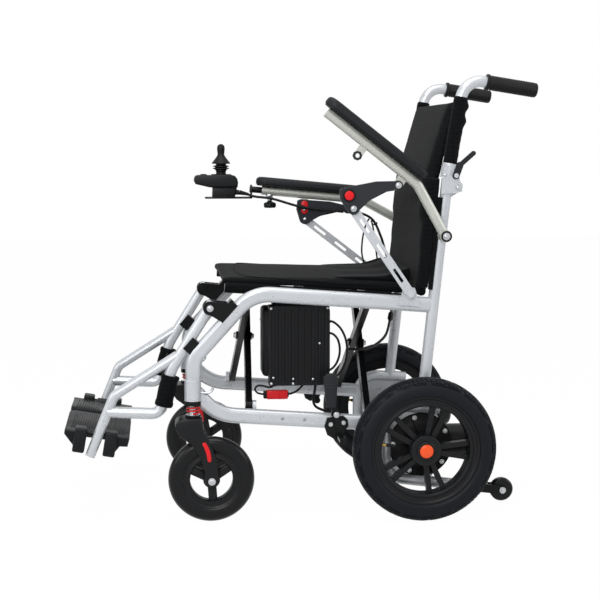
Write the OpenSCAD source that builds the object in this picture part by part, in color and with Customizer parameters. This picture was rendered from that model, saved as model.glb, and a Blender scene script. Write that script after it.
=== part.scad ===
/* [Layout] */
// Distance from the middle of the chair back to the rear axle
axle_y = 267; // [255:1:280]
// Half distance between the rear wheel centre planes
wheel_x = 262; // [250:1:280]
// Half distance between the side frame planes
frame_x = 212; // [205:1:216]
// Fall of the seat and lower rails towards the rear, in degrees
rail_slope = 4.3; // [2:0.1:6]

/* [Side frame] */
// In-plane height of the oval rail tube
rail_h = 34; // [28:1:38]
// Width of the oval rail tube
rail_w = 22; // [18:1:24]
// Diameter of the back post and the rear loop tube
post_d = 25; // [22:1:28]
// Backward lean of the fixed back post, in degrees
post_lean = 5.9; // [3:0.1:8]
// Thickness of the motor plate
plate_t = 6; // [4:1:8]

/* [Rear wheels] */
// Outer radius of the rear tyre, which also sets the axle height
tyre_r = 158; // [150:1:165]
// Half width of the rear tyre section
tyre_half = 28; // [24:1:30]
// Outer radius of the rear rim
rim_r = 119; // [112:1:124]
// Width of one wheel spoke
spoke_w = 11.5; // [8:0.5:13]
// Radius of the drive shaft
shaft_r = 8.5; // [7:0.5:10]

/* [Front casters] */
// Outer radius of the caster tyre
caster_r = 94; // [88:1:97]
// Trail from the swivel axis back to the caster axle
caster_trail = 39; // [30:1:45]
// Half distance between the swivel axes
stem_x = 222; // [218:1:226]
// Radius of the caster stem
stem_r = 9; // [7:0.5:10]
// Upward travel of the sprung stem
stem_travel = 12; // [6:1:12]

/* [Armrests] */
// Half distance between the armrest planes
arm_x = 240; // [238:1:243]
// Armrest tube diameter
arm_d = 22; // [18:1:24]
// Raised angle of the left armrest, in degrees
raise_left = 32.6; // [0:0.2:40]
// Length of the arm pad
pad_len = 271; // [240:1:280]
// Width of the arm pad
pad_w = 50; // [40:1:54]

/* [Seat and back] */
// Half width of the seat cushion
cushion_half = 203; // [195:1:205]
// Thickness of the seat cushion
cushion_t = 40; // [32:1:46]
// Thickness of the back upholstery
back_t = 38; // [30:1:42]

/* [Leg rests] */
// Half distance between the leg rest planes
leg_x = 205; // [202:1:207]
// Diameter of the leg rest hanger tube
leg_d = 25; // [22:1:26]
// Diameter of the footplate tube
foot_d = 22; // [20:1:24]
// Toe-up angle of the footplates, in degrees
plate_tilt = 9.8; // [5:0.2:14]

/* [Fits] */
// Radial running clearance of pins and shafts
run_fit = 0.05; // [0.02:0.01:0.1]
// Gap between neighbours that move past each other
gap = 0.4; // [0.3:0.1:0.8]

/* [Hidden] */
$fn = 48;

paint = "#c9cacb";
steel = "#aeb0b3";
black = "#1d1e20";
rubber = "#17181b";
fabric = "#1a1b1e";
red = "#b3161c";

thin = 0.996;
rail_in = frame_x - thin * rail_w / 2;
rail_out = frame_x + thin * rail_w / 2;
tan_s = tan(rail_slope);
axle_z = tyre_r;

function unit(v) = v / norm(v);
function heading(v) = atan2(v[1], v[0]);
function turn(p, i) = let (a = unit(p[i] - p[i - 1]), b = unit(p[i + 1] - p[i]))
    atan2(a[0] * b[1] - a[1] * b[0], a * b);
function cut(p, r, i) = i == 0 || i == len(p) - 1 ? 0 : r[i] * tan(abs(turn(p, i)) / 2);
function flat(p, a) = [p[0] * cos(a) - p[1] * sin(a), p[0] * sin(a) + p[1] * cos(a)];

// Points in the side view are [distance behind the rear axle, height].
function low_rail(y) = [y, 220.5 - (y + 275) * tan_s];
function top_rail(y) = [y, 483.4 - (y + 190) * tan_s];
post_split = 743;
tube_top = [89, 957.9];
function low_post(z) = [9.1 + (z - 306) * tan(post_lean), z];
function post(z) = z <= post_split ? low_post(z) : low_post(post_split)
    + (tube_top - low_post(post_split)) * (z - post_split) / (tube_top[1] - post_split);

upper_pts = [[-500, 300], [-498, 357], [-371.7, 497.1], top_rail(29)];
upper_rad = [0, 45, 85, 0];
lower_pts = [low_rail(-78), low_rail(-449.8), [-494, 282.7]];
lower_rad = [0, 100, 0];
rear_pts = [[42, 238], [-78, 246], [-78, 86], [150, 56.8]];
rear_rad = [0, 45, 45, 0];
front_dir = unit(upper_pts[2] - upper_pts[1]);
front_nrm = [-front_dir[1], front_dir[0]];
front_mid = [-414, 450];

stem_y = -501;
head_z0 = 267;
ring_h = 10;
ring_r = 17;
head_z1 = 312;
head_d = 36;
collar_z = 231;
collar_h = 6;
spring_wire = 1.8;
caster_y = stem_y + caster_trail;

arm_pivot = [44.8, 620.3];
arm_pin_r = 6;
arm_bend = [-112, 61];
arm_end = [-360, 84];
arm_rise = heading(arm_bend - arm_end);
latch_pivot = [-147, 36];
latch_lug = [-254.8, 42.4];
latch_btn = [4.5, 29];
latch_btn_r = 10;
cheek_t = 4;
cheek_gap = 5;
latch_end = [-253, 13];
latch_pin_r = 4;
latch_len = norm(latch_end - latch_pivot);
latch_set = 47.4;
link_pivot = [-30, 496];
link_pin_r = 5;
link_t = 6;
lug_t = 6;

back_off = -post_d / 2 - 0.1;
back_sag = 20;
sag_r = (185 * 185 + back_sag * back_sag) / (2 * back_sag);
hinge = [76, 724];
hinge_pin_r = 4.5;
grip_tip = [249, 932.8];
grip_dir = unit(grip_tip - tube_top);
grip_len = 114;
sleeve_r = 16;
lever_t = 5;
lever_x = frame_x + sleeve_r + gap;

brace_y = -254;
brace_z = low_rail(brace_y)[1] + 20;
brace_half = frame_x - 24;
brace_rise = 256.5;
brace_w = 22;
brace_t = 14;
brace_pin_r = 6;
brace_at = [-131.4, 131.4];
seat_rail_r = 11;

leg_pivot = [-462.7, 467];
leg_pin_r = 5;
leg_pts = [leg_pivot - 14 * unit([-46.3, -74]), [-546.5, 333], [-571, 236], [-684.6, 242]];
leg_rad = [0, 100, 25, 0];
foot_pts = [[-533, 363], [-670.1, 277.5], [-723.6, 146]];
foot_rad = [0, 30, 0];
plate_pin_r = 4;
plate_axis_x = 190;
plate_mid = [-708, 191.3];
plate_len = 141;
plate_th = 20;
plate_in = 18;

brake_pivot = [-190, 232];
brake_pin_r = 5;

stick_z = 728;
stick_y = -415;

module side(s) {
    if (s > 0)
        translate([0, axle_y, 0]) children();
    else
        mirror([1, 0, 0]) translate([0, axle_y, 0]) children();
}

// A plate drawn in the side view and drawn out across the chair.
module yz(x0, h) {
    translate([x0, 0, 0]) rotate([90, 0, 90]) linear_extrude(h) children();
}

// A plate drawn in the front view and drawn out along the chair.
module xz(y0, h) {
    translate([0, y0 + h, 0]) rotate([90, 0, 0]) linear_extrude(h) children();
}

module cross_pin(p, x0, x1, r) {
    translate([x0, p[0], p[1]]) rotate([0, 90, 0]) cylinder(h = x1 - x0, r = r);
}

module oval(h, w) {
    square([h - w, w], center = true);
    translate([(h - w) / 2, 0]) circle(d = w);
    translate([-(h - w) / 2, 0]) circle(d = w);
}

module bar(p, q, r) {
    translate(p) rotate(heading(q - p)) translate([0, -r * thin]) square([norm(q - p), 2 * r * thin]);
    translate(p) circle(r);
    translate(q) circle(r);
}

module slab(size, r) {
    square([size[0] - 2 * r, size[1]], center = true);
    square([size[0], size[1] - 2 * r], center = true);
    for (i = [-1, 1], j = [-1, 1])
        translate([i * (size[0] / 2 - r), j * (size[1] / 2 - r)]) circle(r);
}

// Straight lengths are a hair thinner than the bends and enter them by a millimetre.
module bent(p, r) {
    n = len(p);
    for (i = [0 : n - 2]) {
        d = unit(p[i + 1] - p[i]);
        a = p[i] + d * (cut(p, r, i) - (i > 0 ? 1 : 0));
        b = p[i + 1] - d * (cut(p, r, i + 1) - (i < n - 2 ? 1 : 0));
        translate([a[0], a[1], 0]) rotate([0, 0, heading(d)]) rotate([90, 0, 90])
            linear_extrude(norm(b - a)) scale(thin) children();
    }
    if (n > 2)
        for (i = [1 : n - 2]) {
            d = unit(p[i] - p[i - 1]);
            t = turn(p, i);
            m = [-d[1], d[0]] * sign(t);
            c = p[i] - d * cut(p, r, i) + m * r[i];
            translate([c[0], c[1], 0]) rotate([0, 0, heading(-m)])
                rotate_extrude(angle = t) translate([r[i], 0]) children();
        }
}

module run(x, p, r) {
    translate([x, 0, 0]) rotate([90, 0, 90]) bent(p, r) children();
}

// The plane in which the cross braces work, tipped with the rails.
module braces() {
    translate([0, brace_y, brace_z]) rotate([-rail_slope, 0, 0]) children();
}

module along(x, y0, y1, z, r) {
    translate([x, y0, z]) rotate([-90, 0, 0]) cylinder(h = y1 - y0, r = r);
}

module side_frame(s) {
    color(paint) side(s) difference() {
        union() {
            run(frame_x, upper_pts, upper_rad) oval(rail_h, rail_w);
            run(frame_x, lower_pts, lower_rad) oval(rail_h, rail_w);
            run(frame_x, [post(238), post(post_split)], [0, 0]) circle(d = post_d);
            run(frame_x, rear_pts, rear_rad) circle(d = post_d);
            yz(frame_x - plate_t / 2, plate_t)
                polygon([[-74, 92], [-74, 240], [30, 238], [52, 190], [52, 120], [20, 80]]);
            translate([stem_x, stem_y, head_z0]) cylinder(h = head_z1 - head_z0, d = head_d);
            cross_pin(arm_pivot, frame_x, arm_x - 13.4, 13);
            cross_pin(arm_pivot, frame_x, arm_x + 16, arm_pin_r);
            cross_pin(arm_pivot, arm_x + 12.4, arm_x + 16, 10);
            yz(frame_x + rail_w / 2 - 2, 8)
                polygon([[-54, 470], [-6, 466], [-18, 507], [-42, 509]]);
            cross_pin(link_pivot, frame_x + rail_w / 2, arm_x - link_t / 2 - gap, 9);
            cross_pin(link_pivot, frame_x + rail_w / 2, arm_x + 7, link_pin_r);
            cross_pin(link_pivot, arm_x + link_t / 2 + gap, arm_x + 7, 8);
            yz(frame_x - 4, 8) {
                polygon([post(694), hinge + [4, -9], hinge + [-2, 9.5], post(736)]);
                translate(hinge) circle(10);
            }
            if (s > 0)
                translate([158, -264, 474]) cube([rail_in - 156, 40, 5]);
            for (d = [-13, 10])
                yz(frame_x + d, 3) bar([138, 58.3], [184, 52.5], 9);
            cross_pin([184, 52.5], frame_x - 15, frame_x + 15, 4);
            cross_pin([184, 52.5], frame_x + 13, frame_x + 16, 7);
            braces() for (f = brace_at) {
                y0 = s > 0 ? f + brace_t + 1 : f - brace_t - 10;
                along(brace_half, y0, y0 + 8, 0, 12);
                translate([brace_half, y0, -22]) cube([16, 8, 22]);
                along(brace_half, s > 0 ? f - 0.5 : y0 + 8, s > 0 ? y0 : f - 0.5, 0, brace_pin_r);
            }
        }
        translate([stem_x, stem_y, head_z0 - 1])
            cylinder(h = 30 + stem_travel + 2, r = stem_r + run_fit);
        translate([stem_x, stem_y, head_z0 - 60])
            cylinder(h = 60, r = ring_r + gap);
        cross_pin(hinge, frame_x - 6, frame_x + 6, hinge_pin_r + run_fit);
        cross_pin([0, axle_z], frame_x - 5, frame_x + 5, 18);
        for (y = [-306, -258])
            cross_pin(low_rail(y), frame_x + 5, frame_x + 12, 3.5);
    }
}

module side_frame_left() side_frame(1);
module side_frame_right() side_frame(-1);

// Worm gear motor with the drive shaft that carries the wheel.
module motor(s) {
    color(black) side(s) {
        cross_pin([0, axle_z], frame_x - 48, frame_x - plate_t / 2, 44);
        cross_pin([0, axle_z], frame_x - 8, frame_x + 6, 17);
        cross_pin([0, axle_z], frame_x, wheel_x + 20, shaft_r);
        along(frame_x - 42, 10, 168, axle_z, 36);
        along(frame_x - 42, 160, 180, axle_z, 31);
        along(frame_x - 42, -44, 0, axle_z, 22);
    }
}

module motor_left() motor(1);
module motor_right() motor(-1);

// Leg rest hinge bracket, leg rest cradle, brake base, spring ring and seat rail saddles.
module frame_mounts(s) {
    color(black) side(s) {
        difference() {
            union() {
                for (x = [leg_x - 18.5, leg_x + 13.5])
                    yz(x, 5) {
                        translate(leg_pivot) circle(15);
                        polygon([front_mid + 24 * front_dir + 12 * front_nrm,
                            front_mid - 26 * front_dir + 12 * front_nrm,
                            leg_pivot + 15 * unit([-0.9, -0.5]),
                            leg_pivot + 15 * unit([0.3, 1])]);
                    }
                yz(leg_x - 18.5, 37)
                    polygon([front_mid + 24 * front_dir + 6 * front_nrm,
                        front_mid - 26 * front_dir + 6 * front_nrm,
                        front_mid - 26 * front_dir + 26 * front_nrm,
                        front_mid + 24 * front_dir + 26 * front_nrm]);
                cross_pin(leg_pivot, leg_x - 21, leg_x + 21, leg_pin_r);
                for (x = [leg_x - 22, leg_x + 18])
                    cross_pin(leg_pivot, x, x + 4, 9);
            }
            run(frame_x, [upper_pts[1], upper_pts[2]], [0, 0]) oval(rail_h + gap, rail_w + gap);
        }
        difference() {
            yz(leg_x - 15, 30)
                polygon([for (q = [[-16, 10], [-16, 33], [16, 33], [16, 10]])
                    [-486, 370] + q[0] * front_dir + q[1] * front_nrm]);
            run(frame_x, upper_pts, upper_rad) oval(rail_h + gap, rail_w + gap);
            run(leg_x, [leg_pts[0], leg_pts[1]], [0, 0]) circle(r = leg_d / 2 + gap);
        }
        yz(rail_out, 4) {
            polygon([brake_pivot + [-19, -8], brake_pivot + [17, -4], [-164, 219], [-162, 206], [-172, 190],
                [-196, 178], [-209, 186], [-215, 204]]);
            translate(brake_pivot) circle(10);
        }
        cross_pin(brake_pivot, rail_out, rail_out + 14, brake_pin_r);
        cross_pin(brake_pivot, rail_out + 11, rail_out + 14, 8);
        for (p = [[-201, 209], [-173, 212]])
            cross_pin(p, rail_out, rail_out + 4 + gap / 2, 5);
        translate([stem_x, stem_y, head_z0 - ring_h]) difference() {
            cylinder(h = ring_h, r = ring_r);
            translate([0, 0, -1]) cylinder(h = ring_h + 2, r = stem_r + gap);
        }
        braces() for (y = [-60, 185])
            difference() {
                translate([brace_half - 12, y - 12, brace_rise - 24])
                    cube([rail_in - brace_half + 12, 24, 22]);
                along(brace_half, y - 20, y + 20, brace_rise, seat_rail_r + gap);
            }
    }
}

module frame_mounts_left() frame_mounts(1);
module frame_mounts_right() frame_mounts(-1);

module battery_pack() {
    color(black) side(1) {
        translate([108, -250, 303]) linear_extrude(154) slab([76, 200], 10);
        translate([96, -325, 456]) cube([24, 150, 10]);
        translate([144, -300, 320]) cube([6, 60, 20]);
        translate([144, -300, 410]) cube([6, 60, 20]);
    }
}

module controller_box() {
    color(black) side(1) {
        translate([150, -332, 290]) cube([40, 132, 176]);
        for (i = [0 : 8])
            translate([190, -326 + i * 14.5, 300]) cube([6, 4, 156]);
        translate([158, -264, 466]) cube([26, 40, 8]);
    }
}

function spline(p, i, t) = let (a = p[max(i - 1, 0)], b = p[i], c = p[i + 1],
    d = p[min(i + 2, len(p) - 1)])
    0.5 * (2 * b + (c - a) * t + (2 * a - 5 * b + 4 * c - d) * t * t
    + (3 * b - a - 3 * c + d) * t * t * t);
function path(p, n) = [for (i = [0 : len(p) - 2], k = [0 : n - 1]) spline(p, i, k / n), p[len(p) - 1]];

module cord(p, r, n) {
    m = len(p);
    d = [for (i = [0 : m - 1]) unit(p[min(i + 1, m - 1)] - p[max(i - 1, 0)])];
    u = [for (i = [0 : m - 1]) unit(cross(d[i], abs(d[i][2]) > 0.95 ? [1, 0, 0] : [0, 0, 1]))];
    polyhedron(
        points = [for (i = [0 : m - 1], k = [0 : n - 1])
            p[i] + r * (cos(360 * k / n) * u[i] + sin(360 * k / n) * cross(d[i], u[i]))],
        faces = concat(
            [[for (k = [0 : n - 1]) k]],
            [for (i = [0 : m - 2], k = [0 : n - 1])
                [i * n + k, (i + 1) * n + k, (i + 1) * n + (k + 1) % n, i * n + (k + 1) % n]],
            [[for (k = [0 : n - 1]) m * n - 1 - k]]));
}

plug = [162, -314.5, 266.5];
plug_size = [16, 50, 20];
lead_pts = [[172, -322, 287.2], [171, -332, 284], [168, -345, 287], [165, -356, 287], [163, -362, 280],
    [162, -358, 271.5], [162, -348, 268], plug - [0, 20, 0]];
tail_pts = [plug + [0, 20, 0], [161, -282, 267.5], [152, -266, 273], [138, -252, 284], [124, -244, 294],
    [118, -240, 302]];
cable_pts = [[-224, -370.6, 700], [-224, -358, 698], [-222, -335, 690], [-217, -290, 684],
    [-221, -220, 664], [-221, -150, 655], [-221, -90, 652], [-220, -44, 634], [-216, -22, 592],
    [-214.5, -11, 556], [-206, -2, 521], [-150, -8, 470], [-60, -20, 420], [30, -50, 375], [84, -90, 358],
    [106, -125, 356], [110, -149, 358]];

// Supply lead with its plug under the controller.
module battery_leads() {
    color(red) side(1) {
        translate(plug - plug_size / 2) cube(plug_size);
        cord(path(lead_pts, 3), 3.5, 8);
        cord(path(tail_pts, 3), 3.5, 8);
    }
}

module joystick_cable() {
    color(rubber) translate([0, axle_y, 0]) cord(path(cable_pts, 4), 3.2, 8);
}

// First pair of crossing bars with the right seat rail and the crossing pins.
module cross_brace_a() {
    color(black) side(1) braces() {
        for (f = brace_at) {
            xz(f, brace_t) difference() {
                bar([brace_half, 0], [-brace_half, brace_rise], brace_w / 2);
                translate([brace_half, 0]) circle(brace_pin_r + run_fit);
            }
            along(0, f - brace_t - 4, f + 1, brace_rise / 2, brace_pin_r);
            along(0, f - brace_t - 5, f - brace_t - 1 - gap, brace_rise / 2, 9);
            along(0, f + brace_t - 1, f + brace_t + 3, brace_rise / 2, 9);
        }
        along(-brace_half, -195, 222, brace_rise, seat_rail_r);
    }
}

// Second pair of crossing bars with the left seat rail.
module cross_brace_b() {
    color(black) side(1) braces() {
        for (f = brace_at)
            xz(f - brace_t - 1, brace_t) difference() {
                bar([-brace_half, 0], [brace_half, brace_rise], brace_w / 2);
                translate([-brace_half, 0]) circle(brace_pin_r + run_fit);
                translate([0, brace_rise / 2]) circle(brace_pin_r + run_fit);
            }
        along(brace_half, -195, 222, brace_rise, seat_rail_r);
    }
}

module seat_cushion() {
    color(fabric) side(1) braces()
        translate([0, 6, brace_rise + seat_rail_r + gap]) difference() {
            linear_extrude(cushion_t) slab([2 * cushion_half, 430], 24);
            yz(-cushion_half - 1, 2 * cushion_half + 2) polygon([[-216, -1], [-190, -1], [-216, 22]]);
        }
}

// Panel between the fixed posts with a flap that lies on the cushion.
module back_upholstery_lower() {
    color(fabric) side(1) {
        yz(2 - frame_x, 2 * frame_x - 4)
            polygon([post(545) + [back_off - back_t, 0], post(545) + [back_off, 0],
                post(738) + [back_off, 0], post(738) + [back_off - back_t, 0]]);
        yz(-186, 372)
            polygon([[-150, 545], [-16, 535], post(552) + [back_off - 8, 0], post(590) + [back_off - back_t + 4, 0],
                [-60, 566]]);
    }
}

// Panel between the folding posts with the sleeves that hold it.
module back_upholstery_upper() {
    color(fabric) side(1) difference() {
        union() {
            yz(-198, 396)
                polygon([post(747) + [-13.5 - back_t, 0], post(747) + [-13.5, 0],
                    post(778) + [-13.5, 0], post(778) + [0, 0], post(912) + [0, 0],
                    post(912) + [-30, 8], post(895) + [-13.5 - back_t, 0]]);
            for (x = [-frame_x, frame_x])
                run(x, [post(778), post(912)], [0, 0]) circle(17.5);
        }
        for (x = [-frame_x, frame_x])
            run(x, [post(746), post(930)], [0, 0]) circle(post_d / 2 + gap);
        along(0, -60, 160, 922 + sag_r - back_sag, sag_r);
    }
}

module back_tube(s) {
    color(paint) side(s) {
        run(frame_x, [post(post_split + 1.4), tube_top, grip_tip - 4 * grip_dir], [0, 42, 0])
            circle(d = post_d);
        run(frame_x, [post(post_split + 1.4), post(776)], [0, 0]) circle(sleeve_r);
        yz(frame_x + post_d / 2 + gap, sleeve_r - post_d / 2 - 2 * gap)
            polygon([post(772) + [-14, 0], post(772) + [14, 0], post(752) + [15, 0], hinge + [9, 6],
                hinge + [8, -8], hinge + [-4, -12], post(710) + [-13, 0], post(744) + [-15, 0]]);
        for (x = [frame_x - 4 - gap - 5, frame_x + 4 + gap])
            yz(x, 5) {
                polygon([hinge + [-6.5, 0], hinge + [6.5, 0], post(760) + [20, 0], post(760) + [2, 0],
                    post(746) + [2, 0], post(745) + [13.4, 0]]);
                translate(hinge) circle(6.5);
            }
        cross_pin(hinge, frame_x - 11, frame_x + 11, hinge_pin_r);
        cross_pin(post(750) + [14, 0], frame_x + 6, lever_x + lever_t + gap + 1, 3);
        cross_pin(post(750) + [14, 0], lever_x + lever_t + gap, lever_x + lever_t + gap + 2.5, 5);
    }
}

module back_tube_left() back_tube(1);
module back_tube_right() back_tube(-1);

module hand_grip(s) {
    color(rubber) side(s) difference() {
        union() {
            run(frame_x, [grip_tip - grip_len * grip_dir, grip_tip], [0, 0]) circle(16);
            run(frame_x, [grip_tip - (grip_len + 1) * grip_dir, grip_tip - (grip_len - 7) * grip_dir], [0, 0]) circle(18);
        }
        run(frame_x, [grip_tip - (grip_len + 5) * grip_dir, grip_tip - 4 * grip_dir], [0, 0]) circle(post_d / 2 + run_fit);
    }
}

module hand_grip_left() hand_grip(1);
module hand_grip_right() hand_grip(-1);

// Release lever of the folding back, on a stub behind the hinge sleeve.
module back_lever(s) {
    p = post(750) + [14, 0];
    color(black) side(s) yz(lever_x, lever_t) difference() {
        union() {
            bar(p, p + [8, 22], 7.5);
            bar(p + [8, 22], [107, 798], 5);
        }
        translate(p) circle(3 + run_fit);
    }
}

module back_lever_left() back_lever(1);
module back_lever_right() back_lever(-1);

// Everything on the armrest is drawn level about its pivot and then raised.
module arm(s) {
    side(s) translate([0, arm_pivot[0], arm_pivot[1]]) rotate([s > 0 ? -raise_left : 0, 0, 0])
        children();
}

module latch(s) {
    arm(s) translate([0, latch_pivot[0], latch_pivot[1]])
        rotate([(s > 0 ? latch_set : 0) + heading(latch_pivot - latch_end), 0, 0]) children();
}

module arm_tube(s) {
    d = unit(arm_end - arm_bend);
    color(paint) arm(s) difference() {
        union() {
            run(arm_x, [[0, 0], arm_bend, arm_end], [0, 50, 0]) circle(d = arm_d);
            cross_pin([0, 0], arm_x - 13, arm_x + 12, 13);
            yz(arm_x - lug_t / 2, lug_t) {
                bar(latch_pivot, [-147, 62], 10);
                bar(latch_lug, [-253, 72], 9);
            }
            if (s < 0)
                run(arm_x, [arm_end + [18, -1.5], arm_end + [20, -20]], [0, 0]) circle(8);
        }
        cross_pin([0, 0], arm_x - 15, arm_x + 15, arm_pin_r + run_fit);
        cross_pin(latch_pivot, arm_x - 5, arm_x + 5, latch_pin_r + run_fit);
        cross_pin(latch_lug, arm_x - 5, arm_x + 5, 4.5);
        if (s < 0)
            run(arm_x, [arm_end - 130 * d, arm_end + 5 * d], [0, 0]) circle(8 + run_fit);
    }
}

module arm_tube_left() arm_tube(1);
module arm_tube_right() arm_tube(-1);

module arm_pad(s) {
    d = unit(arm_end - arm_bend);
    m = arm_bend + (pad_len / 2 - 6) * d;
    color(black) arm(s) translate([arm_x, m[0], m[1]]) rotate([arm_rise, 0, 0])
        translate([0, 0, arm_d / 2 + 0.1]) linear_extrude(22) slab([pad_w, pad_len], pad_w / 2 - 1);
}

module arm_pad_left() arm_pad(1);
module arm_pad_right() arm_pad(-1);

// Latch channel: two cheeks under the tube, a floor between them and the button hole.
module latch_arm(s) {
    n = latch_len;
    color(black) latch(s) difference() {
        union() {
            for (x = [arm_x - cheek_gap - cheek_t, arm_x + cheek_gap])
                yz(x, cheek_t) {
                    circle(10);
                    translate([-n, 0]) circle(13);
                    polygon([[0, 10], [-13, -6], [-38, 2.5], [-73, -1.5], [-n + 9, -9.4], [-n - 13, 0],
                        [-n - 15, 28], [-n - 8, 48], [-n - 1, 49.5], [-63, 35.5], [-37, 28]]);
                }
            translate([arm_x - cheek_gap - 1, -70, -1]) cube([2 * cheek_gap + 2, 46, 3]);
            cross_pin([0, 0], arm_x - cheek_gap - 1, arm_x + cheek_gap + 1, latch_pin_r);
            for (p = [[0, 0], [-n, 0]])
                cross_pin(p, arm_x + cheek_gap + 1, arm_x + cheek_gap + cheek_t + 3, 7);
        }
        cross_pin([-n, 0] + latch_btn, arm_x + 1, arm_x + 20, latch_btn_r + run_fit);
    }
}

module latch_arm_left() latch_arm(1);
module latch_arm_right() latch_arm(-1);

module latch_button(s) {
    color(red) latch(s) translate([0, -latch_len + latch_btn[0], latch_btn[1]]) rotate([0, 90, 0])
        rotate_extrude() polygon([[0, arm_x + 7], [latch_btn_r, arm_x + 7], [latch_btn_r, arm_x + 12],
            [latch_btn_r - 2, arm_x + 14], [0, arm_x + 14.6]]);
}

module latch_button_left() latch_button(1);
module latch_button_right() latch_button(-1);

function arm_point(p, s) = arm_pivot + flat(p, s > 0 ? -raise_left : 0);
function latch_point(s) = arm_point(latch_pivot, s)
    + flat(latch_end - latch_pivot, s > 0 ? latch_set - raise_left : 0);

// Slotted stay between the seat rail and the latch channel.
module arm_link(s) {
    c = latch_point(s);
    d = unit(c - link_pivot);
    color(steel) side(s) yz(arm_x - link_t / 2, link_t) difference() {
        bar(link_pivot, c, 10);
        translate(link_pivot) circle(link_pin_r + run_fit);
        for (k = [0 : 2])
            bar(link_pivot + (33 + 65 * k) * d, link_pivot + (62.5 + 65 * k) * d, 3.2);
        translate(c) circle(4.5);
    }
}

module arm_link_left() arm_link(1);
module arm_link_right() arm_link(-1);

module wheel(s) {
    side(s) translate([wheel_x, 0, axle_z]) rotate([0, 90, 0]) children();
}

module rear_tyre(s) {
    color(rubber) wheel(s) rotate_extrude() difference() {
        translate([tyre_r - tyre_half, 0]) circle(tyre_half);
        translate([0, -50]) square([rim_r, 100]);
    }
}

module rear_tyre_left() rear_tyre(1);
module rear_tyre_right() rear_tyre(-1);

// Moulded wheel with five pairs of spokes and a hub cap.
module rear_rim(s) {
    color(black) wheel(s) difference() {
        union() {
            rotate_extrude() translate([97, -19]) square([rim_r - 97, 38]);
            translate([0, 0, -22]) cylinder(h = 45, r = 33);
            for (k = [0 : 4], m = [-1, 1])
                rotate([0, 0, 160 + 72 * k]) translate([26, m * 6, 0]) rotate([0, 0, m * 8])
                    translate([0, -spoke_w / 2, -8]) cube([75, spoke_w, 16]);
            translate([0, 0, 22]) cylinder(h = 5, r = 17);
        }
        translate([0, 0, -30]) cylinder(h = 51, r = shaft_r + run_fit);
    }
}

module rear_rim_left() rear_rim(1);
module rear_rim_right() rear_rim(-1);

module swivel(s) {
    side(s) translate([stem_x, stem_y, 0]) children();
}

module caster_stem(s) {
    color(steel) swivel(s) {
        translate([0, 0, 199]) cylinder(h = 98, r = stem_r);
        translate([0, 0, collar_z]) cylinder(h = collar_h, r = 16);
    }
}

module caster_stem_left() caster_stem(1);
module caster_stem_right() caster_stem(-1);

// Coil between the stem collar and the head tube.
module caster_spring(s) {
    z0 = collar_z + collar_h + spring_wire + gap;
    z1 = head_z0 - ring_h - spring_wire - gap;
    color(red) swivel(s) cord([for (i = [0 : 24])
        [12.4 * cos(i * 36), 12.4 * sin(i * 36), z0 + (z1 - z0) * i / 24]], spring_wire, 8);
}

module caster_spring_left() caster_spring(1);
module caster_spring_right() caster_spring(-1);

// Fork with two legs and the wheel axle.
module caster_fork(s) {
    c = [caster_trail, caster_r];
    color(black) swivel(s) difference() {
        union() {
            translate([0, 0, 197]) cylinder(h = collar_z - 197 - gap, r = 20);
            yz(-29, 58) polygon([[-30, 211], [-37, 206], [-36, 200], [-33, 197], [25, 197], [20, 211]]);
            for (x = [-29, 20])
                yz(x, 9) {
                    polygon([[-30, 211], [-37, 206], [-36, 200], [-29, 191], [-7, 176], [5, 163], [15, 145],
                        [22, 124], c + [-15, 0], c + [15, 0], [53, 121], [49, 142], [42, 163], [34, 183],
                        [24, 202], [20, 211]]);
                    translate(c) circle(15);
                }
            cross_pin(c, -32, 32, 6);
            for (x = [-33, 29])
                cross_pin(c, x, x + 4, 10);
        }
        translate([0, 0, 190]) cylinder(h = 50, r = stem_r + run_fit);
    }
}

module caster_fork_left() caster_fork(1);
module caster_fork_right() caster_fork(-1);

// Solid tyre on a three-spoke wheel.
module caster_wheel(s) {
    color(rubber) swivel(s) translate([0, caster_trail, caster_r]) rotate([0, 90, 0]) {
        rotate_extrude() difference() {
            union() {
                translate([caster_r - 17, 0]) circle(17);
                translate([63, -17]) square([caster_r - 80, 34]);
            }
            translate([0, -40]) square([63, 80]);
        }
        difference() {
            union() {
                rotate_extrude() translate([47, -14]) square([16, 28]);
                translate([0, 0, -19]) cylinder(h = 38, r = 17);
                for (k = [0 : 2])
                    rotate([0, 0, 120 * k + 40]) translate([10, -9, -9]) cube([40, 18, 18]);
            }
            translate([0, 0, -30]) cylinder(h = 60, r = 6 + run_fit);
        }
    }
}

module caster_wheel_left() caster_wheel(1);
module caster_wheel_right() caster_wheel(-1);

module antitip_wheel(s) {
    color(rubber) side(s) translate([frame_x, 184, 52.5]) rotate([0, 90, 0]) rotate_extrude()
        difference() {
            union() {
                translate([4 + run_fit, -9]) square([18 - run_fit, 18]);
                translate([18, 0]) intersection() {
                    circle(9);
                    translate([0, -9]) square([8, 18]);
                }
            }
        }
}

module antitip_wheel_left() antitip_wheel(1);
module antitip_wheel_right() antitip_wheel(-1);

// Hand lever with its grip and the pad that meets the tyre.
module brake_lever(s) {
    x0 = rail_out + 4 + gap;
    color(steel) side(s) {
        yz(x0, 6) difference() {
            union() {
                bar(brake_pivot, [-198, 256], 7);
                bar([-198, 256], [-200, 300], 6);
                bar(brake_pivot, [-178, 180], 7);
            }
            translate(brake_pivot) circle(brake_pin_r + run_fit);
        }
        yz(x0 - 3, 12)
            polygon([[-210, 248], [-192, 248], [-188, 313], [-195, 321], [-209, 321], [-217, 314], [-213, 278]]);
        cross_pin([-178, 179], x0, wheel_x + 4, 8);
    }
}

module brake_lever_left() brake_lever(1);
module brake_lever_right() brake_lever(-1);

// The plate frame has the hinge line of the footplate as its fore and aft axis.
module foot(s) {
    side(s) translate([plate_axis_x, plate_mid[0], plate_mid[1]]) rotate([-plate_tilt, 0, 0])
        children();
}

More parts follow.
